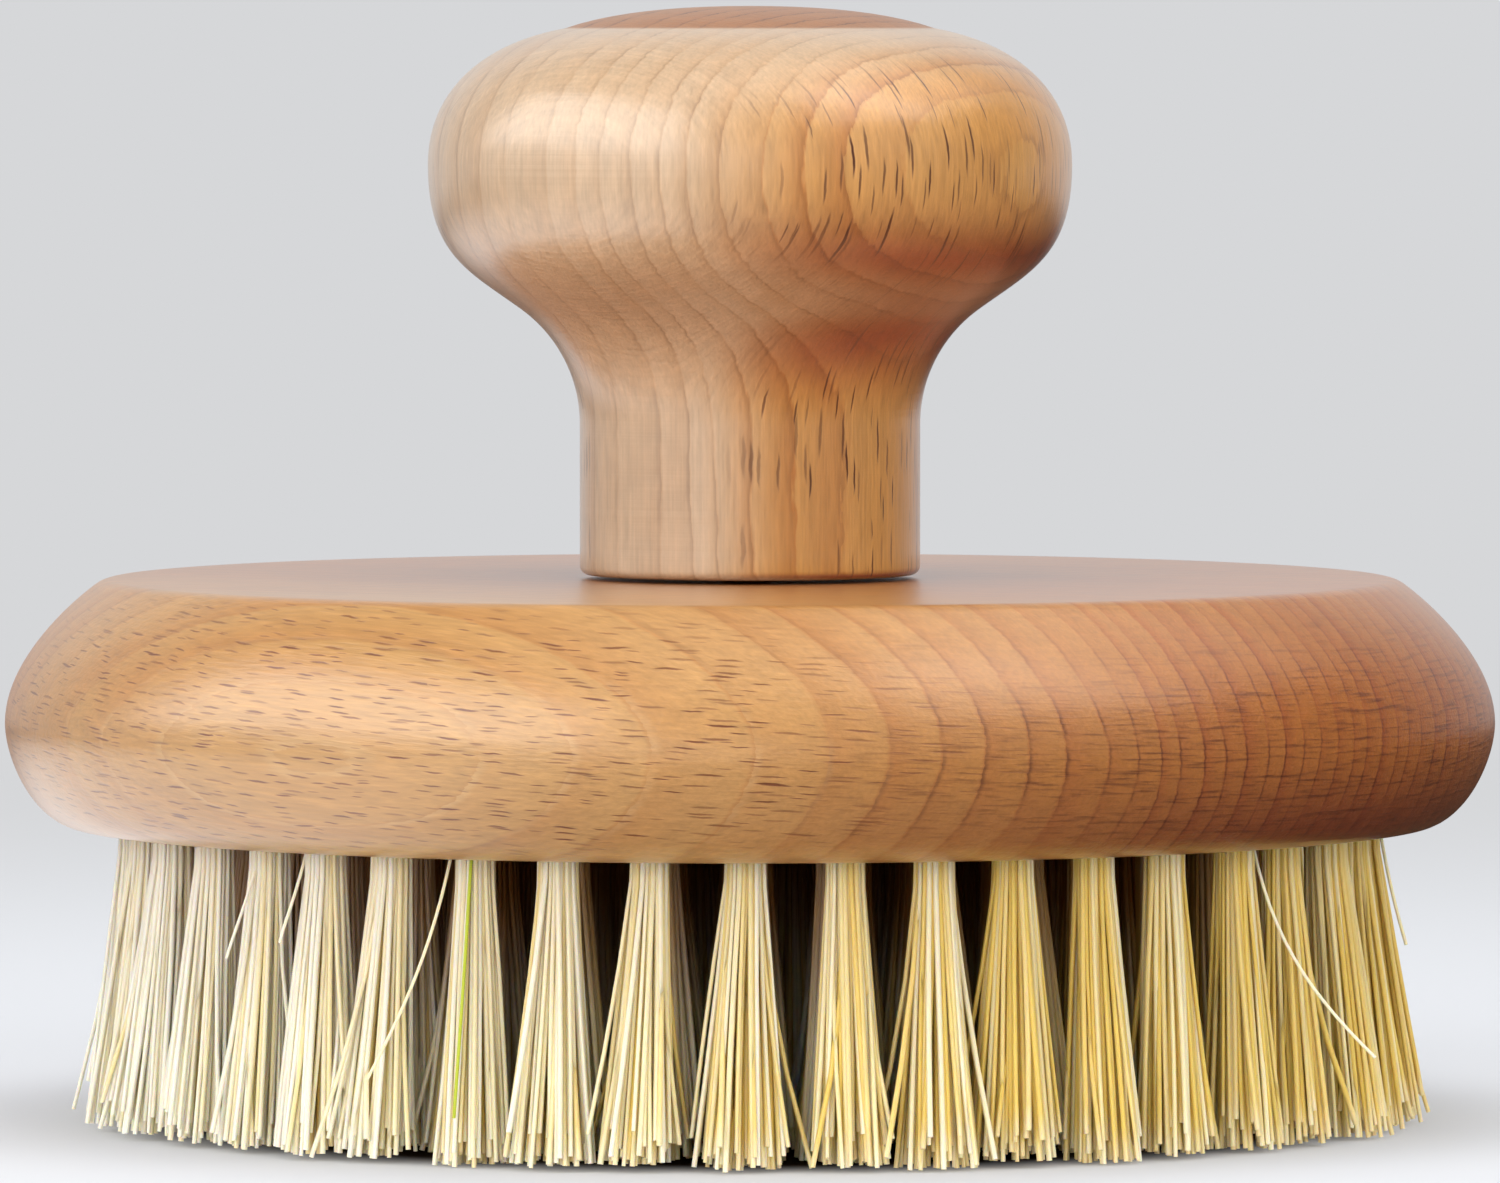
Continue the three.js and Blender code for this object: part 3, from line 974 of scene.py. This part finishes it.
def fit(piece, slot, *nodes):
    """Rides a finished piece on the brush and hides the construction that it stands for. The slot, the name
    of its finish, is not used.
    """
    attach(piece, "root")
    if nodes:
        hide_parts(*nodes)
    triangles = sum(len(face.vertices) - 2 for face in piece.data.polygons)
    print(f"{piece.name}: {triangles} triangles")


# %% [markdown]
# The knob
#
# A straight neck flares into a flat round bulb, with a low dome on top that was parted off and left as end
# grain. The foot is softened where it meets the block, and the pilot hole for the screw is bored from below.

# %% Knob outline
NECK_RADIUS = 13.75
NECK_HEIGHT = 12.2
NECK_ROWS = (2, 6)
FOOT_ROUND = 0.8
FLARE_RADIUS = 11.4
FLARE_SWEEP = 54
FLARE_RUN = 5.2
BULB_LINE = 33.1
BULB_UNDERSIDE = 7.3
BULB_SHOULDER = 6.1
SHOULDER_RUN = 6.6
SHOULDER_TILT = 10
DOME_RADIUS = 14.9
DOME_DROP = 0.5
DOME_STEPS = 10
PILOT_RADIUS = 2.55
BORE_SPARE = 0.3
CURVE_STEPS = 22


def knob_outline():
    height = (KNOB_TOP - KNOB_FOOT) / MM
    pilot = (screw_high.z - KNOB_FOOT) / MM + BORE_SPARE
    widest = (BULB_RADIUS / MM, BULB_LINE)
    edge = (DOME_RADIUS, DOME_EDGE)
    foot = softened((0, 0), (NECK_RADIUS, 0), (NECK_RADIUS, NECK_HEIGHT), FOOT_ROUND)
    flare = arc((NECK_RADIUS + FLARE_RADIUS, NECK_HEIGHT), FLARE_RADIUS, 180, 180 - FLARE_SWEEP, CURVE_STEPS)
    sweep, tilt = math.radians(FLARE_SWEEP), math.radians(SHOULDER_TILT)
    flare_pull = (flare[-1][0] + FLARE_RUN * math.sin(sweep), flare[-1][1] + FLARE_RUN * math.cos(sweep))
    edge_pull = (edge[0] + SHOULDER_RUN * math.cos(tilt), edge[1] - SHOULDER_RUN * math.sin(tilt))
    underside = bezier(flare[-1], flare_pull, (widest[0], BULB_LINE - BULB_UNDERSIDE), widest, CURVE_STEPS)
    shoulder = bezier(widest, (widest[0], BULB_LINE + BULB_SHOULDER), edge_pull, edge, CURVE_STEPS)
    dome_pull = (0.75 * DOME_RADIUS, height - DOME_DROP)
    dome = bezier(edge, dome_pull, (0.4 * DOME_RADIUS, height), (0, height), DOME_STEPS)
    bore = [(0, pilot), (PILOT_RADIUS, pilot), (PILOT_RADIUS, 0)]
    neck = [(NECK_RADIUS, row) for row in NECK_ROWS]
    return bore + foot + neck + flare + underside[1:] + shoulder[1:] + dome[1:]


knob_line = knob_outline()
print("knob outline", len(knob_line), "points")

# %% Knob
knob = turn("knob", knob_line, KNOB_FOOT, facets=160, finish=knob_beech)
fit(knob, "knob_beech", "knob_handle")

# %% [markdown]
# The tuft holes
#
# The holes stand in rings, and a fixed seed moves each one a little, because no two tufts of the real brush
# are quite evenly spaced. The same places serve the drilled block, the staples and the tufts.

# %% Hole places
RING_COUNTS = (43, 36, 29, 23, 16, 9)
OUTER_RING = 49.35
RING_SPACING = 7.7
PLACE_SEED = 7
ANGLE_WANDER = 0.8
RADIUS_WANDER = 0.2


def hole_places():
    draw = random.Random(PLACE_SEED)
    rings = []
    for ring, count in enumerate(RING_COUNTS):
        radius = OUTER_RING - ring * RING_SPACING
        places = []
        for number in range(count):
            wander = draw.uniform(-ANGLE_WANDER, ANGLE_WANDER) * OUTER_RING / radius
            angle = math.radians(360 * number / count - 90 + wander)
            reach = (radius + draw.uniform(-RADIUS_WANDER, RADIUS_WANDER)) * MM
            places.append((reach * math.cos(angle), reach * math.sin(angle), UNDERSIDE))
        rings.append(places)
    return rings


rings = hole_places()
all_holes = [place for ring in rings for place in ring]
print(len(all_holes), "tuft holes in", len(rings), "rings")

# %% [markdown]
# The block
#
# The block's outline runs along the underside, round the bull nose and over the flat top, with the screw's
# bore and counterbore in the middle. The tuft holes are then drilled with one Boolean, because a drilled face
# is what shows from below, between the fibres.

# %% Block outline
TOP_INSET = 7.9
TOP_ROUND = 0.7
TOP_ROWS = (3, 12)
BASE_INSET = 4.9
BASE_ROUND = 0.35
UPPER_NOSE = 4.4
LOWER_NOSE = 2.6
UPPER_SLOPE, UPPER_TILT = 4.4, 35
LOWER_SLOPE, LOWER_TILT = 3.3, 20
COUNTERBORE_RADIUS = 4.8
BORE_RADIUS = 2.55
BORE_ROW = 18
HEAD_SEAT = 5.8


def block_outline():
    height, radius = (BLOCK_TOP - UNDERSIDE) / MM, BLOCK_RADIUS / MM
    base, widest, top = (radius - BASE_INSET, 0), (radius, RIM_LINE), (radius - TOP_INSET, height)
    low, high = math.radians(LOWER_TILT), math.radians(UPPER_TILT)
    base_pull = (base[0] + LOWER_SLOPE * math.cos(low), LOWER_SLOPE * math.sin(low))
    top_pull = (top[0] + UPPER_SLOPE * math.cos(high), height - UPPER_SLOPE * math.sin(high))
    lower = bezier(base, base_pull, (radius, RIM_LINE - LOWER_NOSE), widest, CURVE_STEPS)
    upper = bezier(widest, (radius, RIM_LINE + UPPER_NOSE), top_pull, top, CURVE_STEPS)
    base_edge = softened((0, 0), base, lower[2], BASE_ROUND)
    top_edge = softened(upper[-3], top, (0, height), TOP_ROUND)
    underside = [(COUNTERBORE_RADIUS, 0), (COUNTERBORE_RADIUS + 1, 0), (base[0] - 1, 0)]
    face = [(top[0] - row, height) for row in TOP_ROWS] + [(BORE_ROW, height), (BORE_RADIUS, height)]
    seat = [(BORE_RADIUS, HEAD_SEAT + COUNTERBORE_RADIUS - BORE_RADIUS), (COUNTERBORE_RADIUS, HEAD_SEAT)]
    return underside + base_edge + lower[2:] + upper[1:-2] + top_edge + face + seat + underside[:1]


block_line = block_outline()
print("block outline", len(block_line), "points")

# %% Drilling
HOLE_RADIUS = 1.55
HOLE_SIDES = 20
HOLE_DEPTH = (staple_high.z - UNDERSIDE) / MM + BORE_SPARE


def mesh_of(shape, name):
    mesh = bpy.data.meshes.new(name)
    shape.to_mesh(mesh)
    shape.free()
    return mesh


def drill_bits(places, radius, depth):
    """One mesh of upright cylinders, each standing through the underside to the depth of its hole."""
    shape = bmesh.new()
    for place in places:
        bmesh.ops.create_cone(shape, cap_ends=True, segments=HOLE_SIDES, radius1=radius * MM,
                              radius2=radius * MM, depth=2 * depth * MM, matrix=Matrix.Translation(place))
    return mesh_of(shape, "drill_bits")


def cut(piece, cutter_mesh):
    """Cuts one mesh out of a piece and keeps the result as its plain mesh, in the piece's one finish."""
    finish = [material for material in piece.data.materials if material][0]
    cutter = place_object("cutter", cutter_mesh)
    boolean = piece.modifiers.new("cut", "BOOLEAN")
    boolean.object = cutter
    boolean.solver = "EXACT"
    graph = bpy.context.evaluated_depsgraph_get()
    piece.data = bpy.data.meshes.new_from_object(piece.evaluated_get(graph))
    piece.data.materials.clear()
    piece.data.materials.append(finish)
    piece.modifiers.clear()
    bpy.data.objects.remove(cutter)
    tidy_surface(piece)


print(f"tuft holes {HOLE_DEPTH:.1f} mm deep")

# %% Block
block = turn("block", block_line, UNDERSIDE, facets=200, finish=block_beech)
cut(block, drill_bits(all_holes, HOLE_RADIUS, HOLE_DEPTH))
fit(block, "block_beech", "brush_block")

# %% [markdown]
# The screw
#
# A countersunk wood screw holds the knob from below. Its thread comes from the lathe tree, and its cross
# recess is cut into the head, one bar after the other. The second bar goes a hair deeper than the first, so
# that no two cut faces lie in one plane.

# %% Screw outline
HEAD_RADIUS = 4.5
HEAD_EDGE = 0.5
HEAD_BEVEL = 0.15
SHANK_RADIUS = 2.25
CORE_RADIUS = 1.6
THREAD_START = 12.0
SHANK_STEP = 0.7
TIP_LENGTH = 6.0
TIP_ROWS = 12
THREAD_PITCH = 2.0
THREAD_ROWS = 10


def screw_outline():
    full = (screw_high.z - screw_low.z) / MM
    tip = full - TIP_LENGTH
    head = [(0, 0), (HEAD_RADIUS - HEAD_BEVEL, 0), (HEAD_RADIUS, HEAD_BEVEL), (HEAD_RADIUS, HEAD_EDGE)]
    neck = (SHANK_RADIUS, HEAD_EDGE + HEAD_RADIUS - SHANK_RADIUS)
    shank = [neck, (SHANK_RADIUS, THREAD_START - SHANK_STEP)]
    rows = round((tip - THREAD_START) / THREAD_PITCH * THREAD_ROWS)
    step = (tip - THREAD_START) / rows
    core = [(CORE_RADIUS, THREAD_START + row * step) for row in range(rows + 1)]
    shares = [row / TIP_ROWS for row in range(1, TIP_ROWS + 1)]
    taper = [(CORE_RADIUS * (1 - share), tip + TIP_LENGTH * share) for share in shares]
    return head + shank + core + taper


screw_line = screw_outline()
print("screw outline", len(screw_line), "points")

# %% Screw
DRIVE_LENGTH, DRIVE_WIDTH, DRIVE_DEPTH = 4.8, 1.1, 1.9
SECOND_BAR = 0.02
THREAD_END = 2


def recess_bar(width, depth, height):
    """One bar of the cross recess, half of it above the face of the head."""
    shape = bmesh.new()
    size = Matrix.Diagonal((width * MM, depth * MM, 2 * height * MM, 1))
    bmesh.ops.create_cube(shape, size=1, matrix=Matrix.Translation((0, 0, screw_low.z)) @ size)
    return mesh_of(shape, "recess_bar")


screw = turn("wood_screw", screw_line, screw_low.z, facets=32, finish=bright_steel,
             thread_depth=(SHANK_RADIUS - CORE_RADIUS) * MM, thread_pitch=THREAD_PITCH * MM,
             thread_from=screw_low.z + THREAD_START * MM, thread_to=screw_high.z - THREAD_END * MM)
cut(screw, recess_bar(DRIVE_LENGTH, DRIVE_WIDTH, DRIVE_DEPTH))
cut(screw, recess_bar(DRIVE_WIDTH, DRIVE_LENGTH, DRIVE_DEPTH + SECOND_BAR))
fit(screw, "steel", "knob_screw")

# %% [markdown]
# The staples
#
# Each tuft is folded over a short wire that the machine drives into the bottom of its hole. One U of wire is
# bent by a formula along a line, thickened, and set on every hole by Instance on Points, turned so that its
# crown lies along the ring.

# %% Lines and tubes


def new_line(tree, count):
    """A straight curve with so many points."""
    line = add_node(tree, "GeometryNodeCurvePrimitiveLine").outputs[0]
    return add_node(tree, "GeometryNodeResampleCurve", {"Curve": line, "Count": count}).outputs[0]


def tube(tree, curve, sides, radius, **more):
    """A curve thickened into a closed tube with so many sides."""
    circle = add_node(tree, "GeometryNodeCurvePrimitiveCircle", {"Resolution": sides, "Radius": radius})
    inputs = {"Curve": curve, "Profile Curve": circle.outputs[0], "Fill Caps": True, **more}
    return add_node(tree, "GeometryNodeCurveToMesh", inputs).outputs[0]


# %% Staple tree
WIRE_POINTS = 17
WIRE_SIDES = 6


def bent_wire(tree, given):
    """A line bent into a U: a half circle below and two straight legs above it."""
    half = given["Half Width"]
    reach = times(tree, half, math.pi / 2)
    straight = minus(tree, given["Height"], half)
    share = add_node(tree, "GeometryNodeSplineParameter").outputs["Factor"]
    run = times(tree, times_plus(tree, share, 2.0, -1.0), plus(tree, reach, straight))
    bend = calc(tree, "MAXIMUM", calc(tree, "MINIMUM", run, reach), times(tree, reach, -1))
    angle = ratio(tree, bend, half)
    leg = calc(tree, "MAXIMUM", minus(tree, calc(tree, "ABSOLUTE", run), reach), 0)
    rise = times(tree, half, minus(tree, 1, calc(tree, "COSINE", angle)))
    place = combine(tree, times(tree, half, calc(tree, "SINE", angle)), 0, plus(tree, rise, leg))
    return move_points(tree, new_line(tree, WIRE_POINTS), place)


def make_staple_tree():
    tree, given, result = new_group("Wire staples", "GeometryNodeTree", {
        "Holes": SHAPE, "Half Width": VALUE, "Height": VALUE, "Wire Radius": VALUE, "Finish": FINISH,
    }, {"Geometry": SHAPE})
    wire = tube(tree, bent_wire(tree, given), WIRE_SIDES, given["Wire Radius"])
    points = add_node(tree, "GeometryNodeMeshToPoints", {"Mesh": given["Holes"]}).outputs[0]
    place = separate(tree, point_place(tree))
    angle = plus(tree, calc(tree, "ARCTAN2", place["Y"], place["X"]), math.pi / 2)
    placed = add_node(tree, "GeometryNodeInstanceOnPoints", {
        "Points": points, "Instance": wire, "Rotation": combine(tree, 0, 0, angle),
    }).outputs[0]
    return end_tree(tree, given, result, placed)


# %% Staples
STAPLE_WIRE = 0.25 * MM


def make_staples():
    crown = staple_low.z + STAPLE_WIRE
    start = points_mesh("staple_places", [(hole[0], hole[1], crown) for hole in all_holes])
    return run_tree("tuft_staples", start, make_staple_tree(), {
        "Half Width": (staple_high.x - staple_low.x) / 2 - STAPLE_WIRE,
        "Height": staple_high.z - crown,
        "Wire Radius": STAPLE_WIRE,
        "Finish": bright_steel,
    })


staples = make_staples()
fit(staples, "steel", *[f"tuft_staple_{number:02d}" for number in range(1, RING_COUNTS[0] + 1)])

# %% [markdown]
# The tufts
#
# A tuft is a bundle of fibres, packed tight in its hole, that fans out to more than twice the width at the
# cut tips. Hair particles could draw it, but a tree can say it exactly: the points are duplicated once for
# every fibre, each fibre gets a line, and one formula moves the line's points. Roots are packed by the golden
# angle, as seeds in a sunflower are. Seeded numbers give every fibre its own bow, thickness, tint and length.

# %% Tuft tree helpers
GOLDEN_ANGLE = math.pi * (3 - math.sqrt(5))


def attribute(tree, name, kind="FLOAT"):
    return add_node(tree, "GeometryNodeInputNamedAttribute", {"Name": name}, data_type=kind).outputs[0]


def store(tree, shape, name, value, kind="FLOAT"):
    node = add_node(tree, "GeometryNodeStoreNamedAttribute", {
        "Geometry": shape, "Name": name, "Value": value,
    }, data_type=kind, domain="POINT")
    return node.outputs[0]


def level_direction(tree, angle):
    return combine(tree, calc(tree, "COSINE", angle), calc(tree, "SINE", angle), 0)


def moved(tree, place, direction, distance):
    return vector_calc(tree, "ADD", place, scaled(tree, direction, distance))


def packing_share(tree, given, fibre):
    """How far from the middle of its tuft a fibre stands, from 0 to 1."""
    return calc(tree, "SQRT", ratio(tree, plus(tree, fibre, 0.5), given["Fibres"]))


# %% Seeded luck
# One seed for each use, and two for a direction
SEEDS = {
    "turn": 11, "spread": 12, "tuft spread": 13, "tip turn": 14, "sway": 15, "bow": 17, "wild": 19,
    "fling": 20, "short": 22, "trim": 23, "tint": 24, "thickness": 25,
}


def seeded(tree, low, high, number, seed):
    return add_node(tree, "FunctionNodeRandomValue", {2: low, 3: high, 7: number, 8: seed}).outputs[1]


def luck(tree, low, high, number, use):
    """A random value for each tuft or fibre number, the same in every run."""
    return seeded(tree, low, high, number, SEEDS[use])


def lucky_direction(tree, number, use):
    """A random level vector with each side between -1 and 1."""
    sides = [seeded(tree, -1.0, 1.0, number, SEEDS[use] + axis) for axis in range(2)]
    return combine(tree, *sides, 0)


print("seeds", len(SEEDS))

# %% Where a fibre runs


def fibre_path(tree, given, tuft, fibre, number, along):
    """The place of a fibre's points: packed in the hole, fanned out below it and bowed at random."""
    centre = attribute(tree, "centre", "FLOAT_VECTOR")
    below = calc(tree, "MAXIMUM", minus(tree, along, given["Hole Share"]), 0)
    below = ratio(tree, below, minus(tree, 1, given["Hole Share"]))
    packing = packing_share(tree, given, fibre)
    angle = times_plus(tree, fibre, GOLDEN_ANGLE, luck(tree, 0.0, math.tau, tuft, "turn"))
    root = scaled(tree, level_direction(tree, angle), times(tree, packing, given["Root Radius"]))
    spread = plus(tree, packing, luck(tree, -0.14, 0.1, number, "spread"))
    spread = times(tree, spread, luck(tree, 0.86, 1.1, tuft, "tuft spread"))
    tip_angle = plus(tree, angle, luck(tree, -0.2, 0.2, number, "tip turn"))
    tip = scaled(tree, level_direction(tree, tip_angle), times(tree, spread, given["Tip Radius"]))
    fan = calc(tree, "POWER", below, 1.08)
    place = moved(tree, centre, root, minus(tree, 1, fan))
    place = moved(tree, place, tip, fan)
    outward = vector_calc(tree, "MULTIPLY", centre, (1, 1, 0))
    lean = ratio(tree, given["Lean"], given["Lean Reach"])
    place = moved(tree, place, outward, times(tree, lean, fan))
    sway = times(tree, below, given["Tuft Sway"])
    place = moved(tree, place, lucky_direction(tree, tuft, "sway"), sway)
    bow = times(tree, calc(tree, "SINE", times(tree, below, math.pi)), given["Fibre Bow"])
    place = moved(tree, place, lucky_direction(tree, number, "bow"), bow)
    wild = calc(tree, "POWER", luck(tree, 0.0, 1.0, number, "wild"), 9)
    fling = times(tree, times(tree, below, below), times(tree, wild, given["Fling"]))
    return moved(tree, place, lucky_direction(tree, number, "fling"), fling)


def fibre_height(tree, given, tuft, number, along):
    """Straight down from inside the hole to a cut tip, which some fibres miss by a little."""
    short = calc(tree, "POWER", luck(tree, 0.0, 1.0, number, "short"), 2.2)
    tip = times_plus(tree, short, given["Ragged"], luck(tree, 0.06 * MM, 0.6 * MM, tuft, "trim"))
    drop = minus(tree, tip, given["Root Height"])
    return times_plus(tree, along, drop, given["Root Height"])


# %% Tint of a fibre
# Painted shade: fibres grow more golden towards the brush's right side and the middle of their tuft
SHADED_SIDE = towards(75)
SHADE_GOLD_PER_METRE = 9.5
MIDDLE_GOLD = 0.24
INNER_SHADE_GOLD = 0.9
PLAIN_TINTS = 0.9


def fibre_tint(tree, given, fibre, number):
    """More golden towards the brush's shaded right side and inside the tuft, both painted shade, and a little
    different in each fibre.
    """
    sideways = dot(tree, attribute(tree, "centre", "FLOAT_VECTOR"), SHADED_SIDE)
    golden = times_plus(tree, sideways, SHADE_GOLD_PER_METRE, MIDDLE_GOLD)
    inner = minus(tree, 1, packing_share(tree, given, fibre))
    golden = times_plus(tree, inner, INNER_SHADE_GOLD, golden)
    tint = plus(tree, golden, luck(tree, -0.2, 0.4, number, "tint"))
    return calc(tree, "MINIMUM", calc(tree, "MAXIMUM", tint, 0.0), PLAIN_TINTS)


# %% Tuft tree
NUMBERS_IN_TUFT = 1000
FIBRE_SIDES = 5


def make_tuft_tree():
    tree, given, result = new_group("Fibre tufts", "GeometryNodeTree", {
        "Holes": SHAPE, "Fibres": COUNT, "Root Height": VALUE, "Hole Share": VALUE, "Root Radius": VALUE,
        "Tip Radius": VALUE, "Lean": VALUE, "Lean Reach": VALUE, "Tuft Sway": VALUE, "Fibre Bow": VALUE,
        "Fling": VALUE, "Ragged": VALUE, "Steps": COUNT, "Thin": VALUE, "Thick": VALUE, "First Tuft": COUNT,
        "Inside": VALUE, "Finish": FINISH,
    }, {"Geometry": SHAPE})
    points = add_node(tree, "GeometryNodeMeshToPoints", {"Mesh": given["Holes"]}).outputs[0]
    index = add_node(tree, "GeometryNodeInputIndex").outputs[0]
    points = store(tree, points, "tuft", plus(tree, index, given["First Tuft"]), "INT")
    points = store(tree, points, "centre", point_place(tree), "FLOAT_VECTOR")
    copies = add_node(tree, "GeometryNodeDuplicateElements", {"Geometry": points, "Amount": given["Fibres"]},
                      domain="POINT").outputs
    points = store(tree, copies[0], "fibre", copies[1], "INT")
    line = new_line(tree, given["Steps"])
    placed = add_node(tree, "GeometryNodeInstanceOnPoints", {"Points": points, "Instance": line}).outputs[0]
    lines = add_node(tree, "GeometryNodeRealizeInstances", {"Geometry": placed}).outputs[0]
    tuft, fibre = attribute(tree, "tuft", "INT"), attribute(tree, "fibre", "INT")
    number = times_plus(tree, tuft, NUMBERS_IN_TUFT, fibre)
    along = add_node(tree, "GeometryNodeSplineParameter").outputs["Factor"]
    lines = store(tree, lines, "fibre_along", along)
    lines = store(tree, lines, "fibre_tint", fibre_tint(tree, given, fibre, number))
    # How much painted shade each ring gets near its roots
    lines = store(tree, lines, "fibre_root_shade", given["Inside"])
    along = attribute(tree, "fibre_along")
    level = separate(tree, fibre_path(tree, given, tuft, fibre, number, along))
    place = combine(tree, level["X"], level["Y"], fibre_height(tree, given, tuft, number, along))
    thickness = luck(tree, given["Thin"], given["Thick"], number, "thickness")
    tubes = tube(tree, move_points(tree, lines, place), FIBRE_SIDES, 1.0, Scale=thickness)
    return end_tree(tree, given, result, smooth_faces(tree, tubes))


tuft_tree = make_tuft_tree()
print(tuft_tree.name, len(tuft_tree.nodes), "nodes")

# %% Tufts
ROOT_DEPTH = 4.8 * MM
ROOT_CLEARANCE = 0.2
FIBRES_IN_TUFT = 88


def make_tufts(name, ring_numbers, steps, inside):
    places = [place for number in ring_numbers for place in rings[number]]
    return run_tree(name, points_mesh(name + "_places", places), tuft_tree, {
        "Fibres": FIBRES_IN_TUFT,
        "Root Height": UNDERSIDE + ROOT_DEPTH,
        "Hole Share": ROOT_DEPTH / (UNDERSIDE + ROOT_DEPTH),
        "Root Radius": (HOLE_RADIUS - ROOT_CLEARANCE) * MM,
        "Tip Radius": 3.4 * MM,
        "Lean": 1.4 * MM,
        "Lean Reach": OUTER_RING * MM,
        "Tuft Sway": 0.8 * MM,
        "Fibre Bow": 0.18 * MM,
        "Fling": 4.0 * MM,
        "Ragged": 2.8 * MM,
        "Steps": steps,
        "Thin": 0.17 * MM,
        "Thick": 0.25 * MM,
        "First Tuft": sum(RING_COUNTS[:ring_numbers[0]]),
        "Inside": inside,
        "Finish": agave_fibre,
    })


# The last number is how much painted shade the ring's roots get
for name, ring_numbers, steps, inside in (
    ("outer_ring_tufts", (0,), 5, 0.15), ("second_ring_tufts", (1,), 5, 0.8),
    ("middle_ring_tufts", (2, 3), 4, 1.0), ("inner_ring_tufts", (4, 5), 4, 1.0),
):
    tufts = make_tufts(name, ring_numbers, steps, inside)
    fit(tufts, "agave_fibre", name.replace("_ring", ""))

# %% [markdown]
# Stray fibres
#
# A few single fibres have sprung out of their tufts, one of them green, and one short piece is stained. They
# are what the eye catches first, so they are laid one by one: each runs on a curve, most of them from the
# block's underside, and a small tree thickens all of them at once.

# %% Stray fibre tree
STRAY_SIDES = 6


def make_single_fibre_tree():
    tree, given, result = new_group("Single fibres", "GeometryNodeTree", {
        "Paths": SHAPE, "Radius": VALUE, "Finish": FINISH,
    }, {"Geometry": SHAPE})
    lines = add_node(tree, "GeometryNodeMeshToCurve", {"Mesh": given["Paths"]}).outputs[0]
    tubes = tube(tree, lines, STRAY_SIDES, given["Radius"])
    return end_tree(tree, given, result, smooth_faces(tree, tubes))


# %% Stray fibres
STRAY_STEPS = 14
STRAY_RADIUS = 0.14 * MM
ROOF = UNDERSIDE / MM + 2
STRAYS = (
    (0.3, (39.2, -29.6, ROOF), (40.5, -32.0, 17.0), (44.0, -34.0, 12.5), (49.0, -34.5, 7.6)),
    (0.5, (50.2, -8.0, ROOF), (51.2, -9.0, 19.5), (52.0, -9.5, 17.0), (52.6, -10.0, 14.8)),
    (0.1, (-38.0, -31.2, ROOF), (-39.0, -33.5, 20.5), (-40.3, -34.6, 18.0), (-41.0, -34.8, 15.4)),
    (0.2, (-34.2, -35.4, ROOF), (-35.2, -37.4, 21.0), (-36.2, -38.6, 19.0), (-36.7, -38.8, 16.9)),
    (0.4, (-22.8, -43.6, ROOF), (-24.4, -46.6, 17.0), (-27.0, -48.2, 12.0), (-29.6, -49.2, 7.0)),
    (0.935, (-21.5, -45.4, ROOF), (-21.9, -46.9, 18.0), (-22.4, -47.9, 11.0), (-22.9, -48.8, 4.0)),
    (0.985, (44.2, -26.2, 12.6), (44.3, -26.4, 11.8), (44.5, -26.5, 11.0), (44.6, -26.6, 10.2)),
)


def make_strays():
    points, edges, tints = [], [], []
    for tint, *corners in STRAYS:
        first = len(points)
        path = bezier(*corners, STRAY_STEPS)
        points += [tuple(axis * MM for axis in point) for point in path]
        edges += [(first + step, first + step + 1) for step in range(STRAY_STEPS)]
        tints += [tint] * len(path)
    mesh = bpy.data.meshes.new("stray_paths")
    mesh.from_pydata(points, edges, [])
    mesh.attributes.new("fibre_tint", "FLOAT", "POINT").data.foreach_set("value", tints)
    return run_tree("stray_fibres", mesh, make_single_fibre_tree(), {
        "Radius": STRAY_RADIUS, "Finish": agave_fibre,
    })


strays = make_strays()
fit(strays, "agave_fibre")

# %% [markdown]
# Last lines
#
# The view layer is brought up to date at the end.

# %% Last update
bpy.context.view_layer.update()
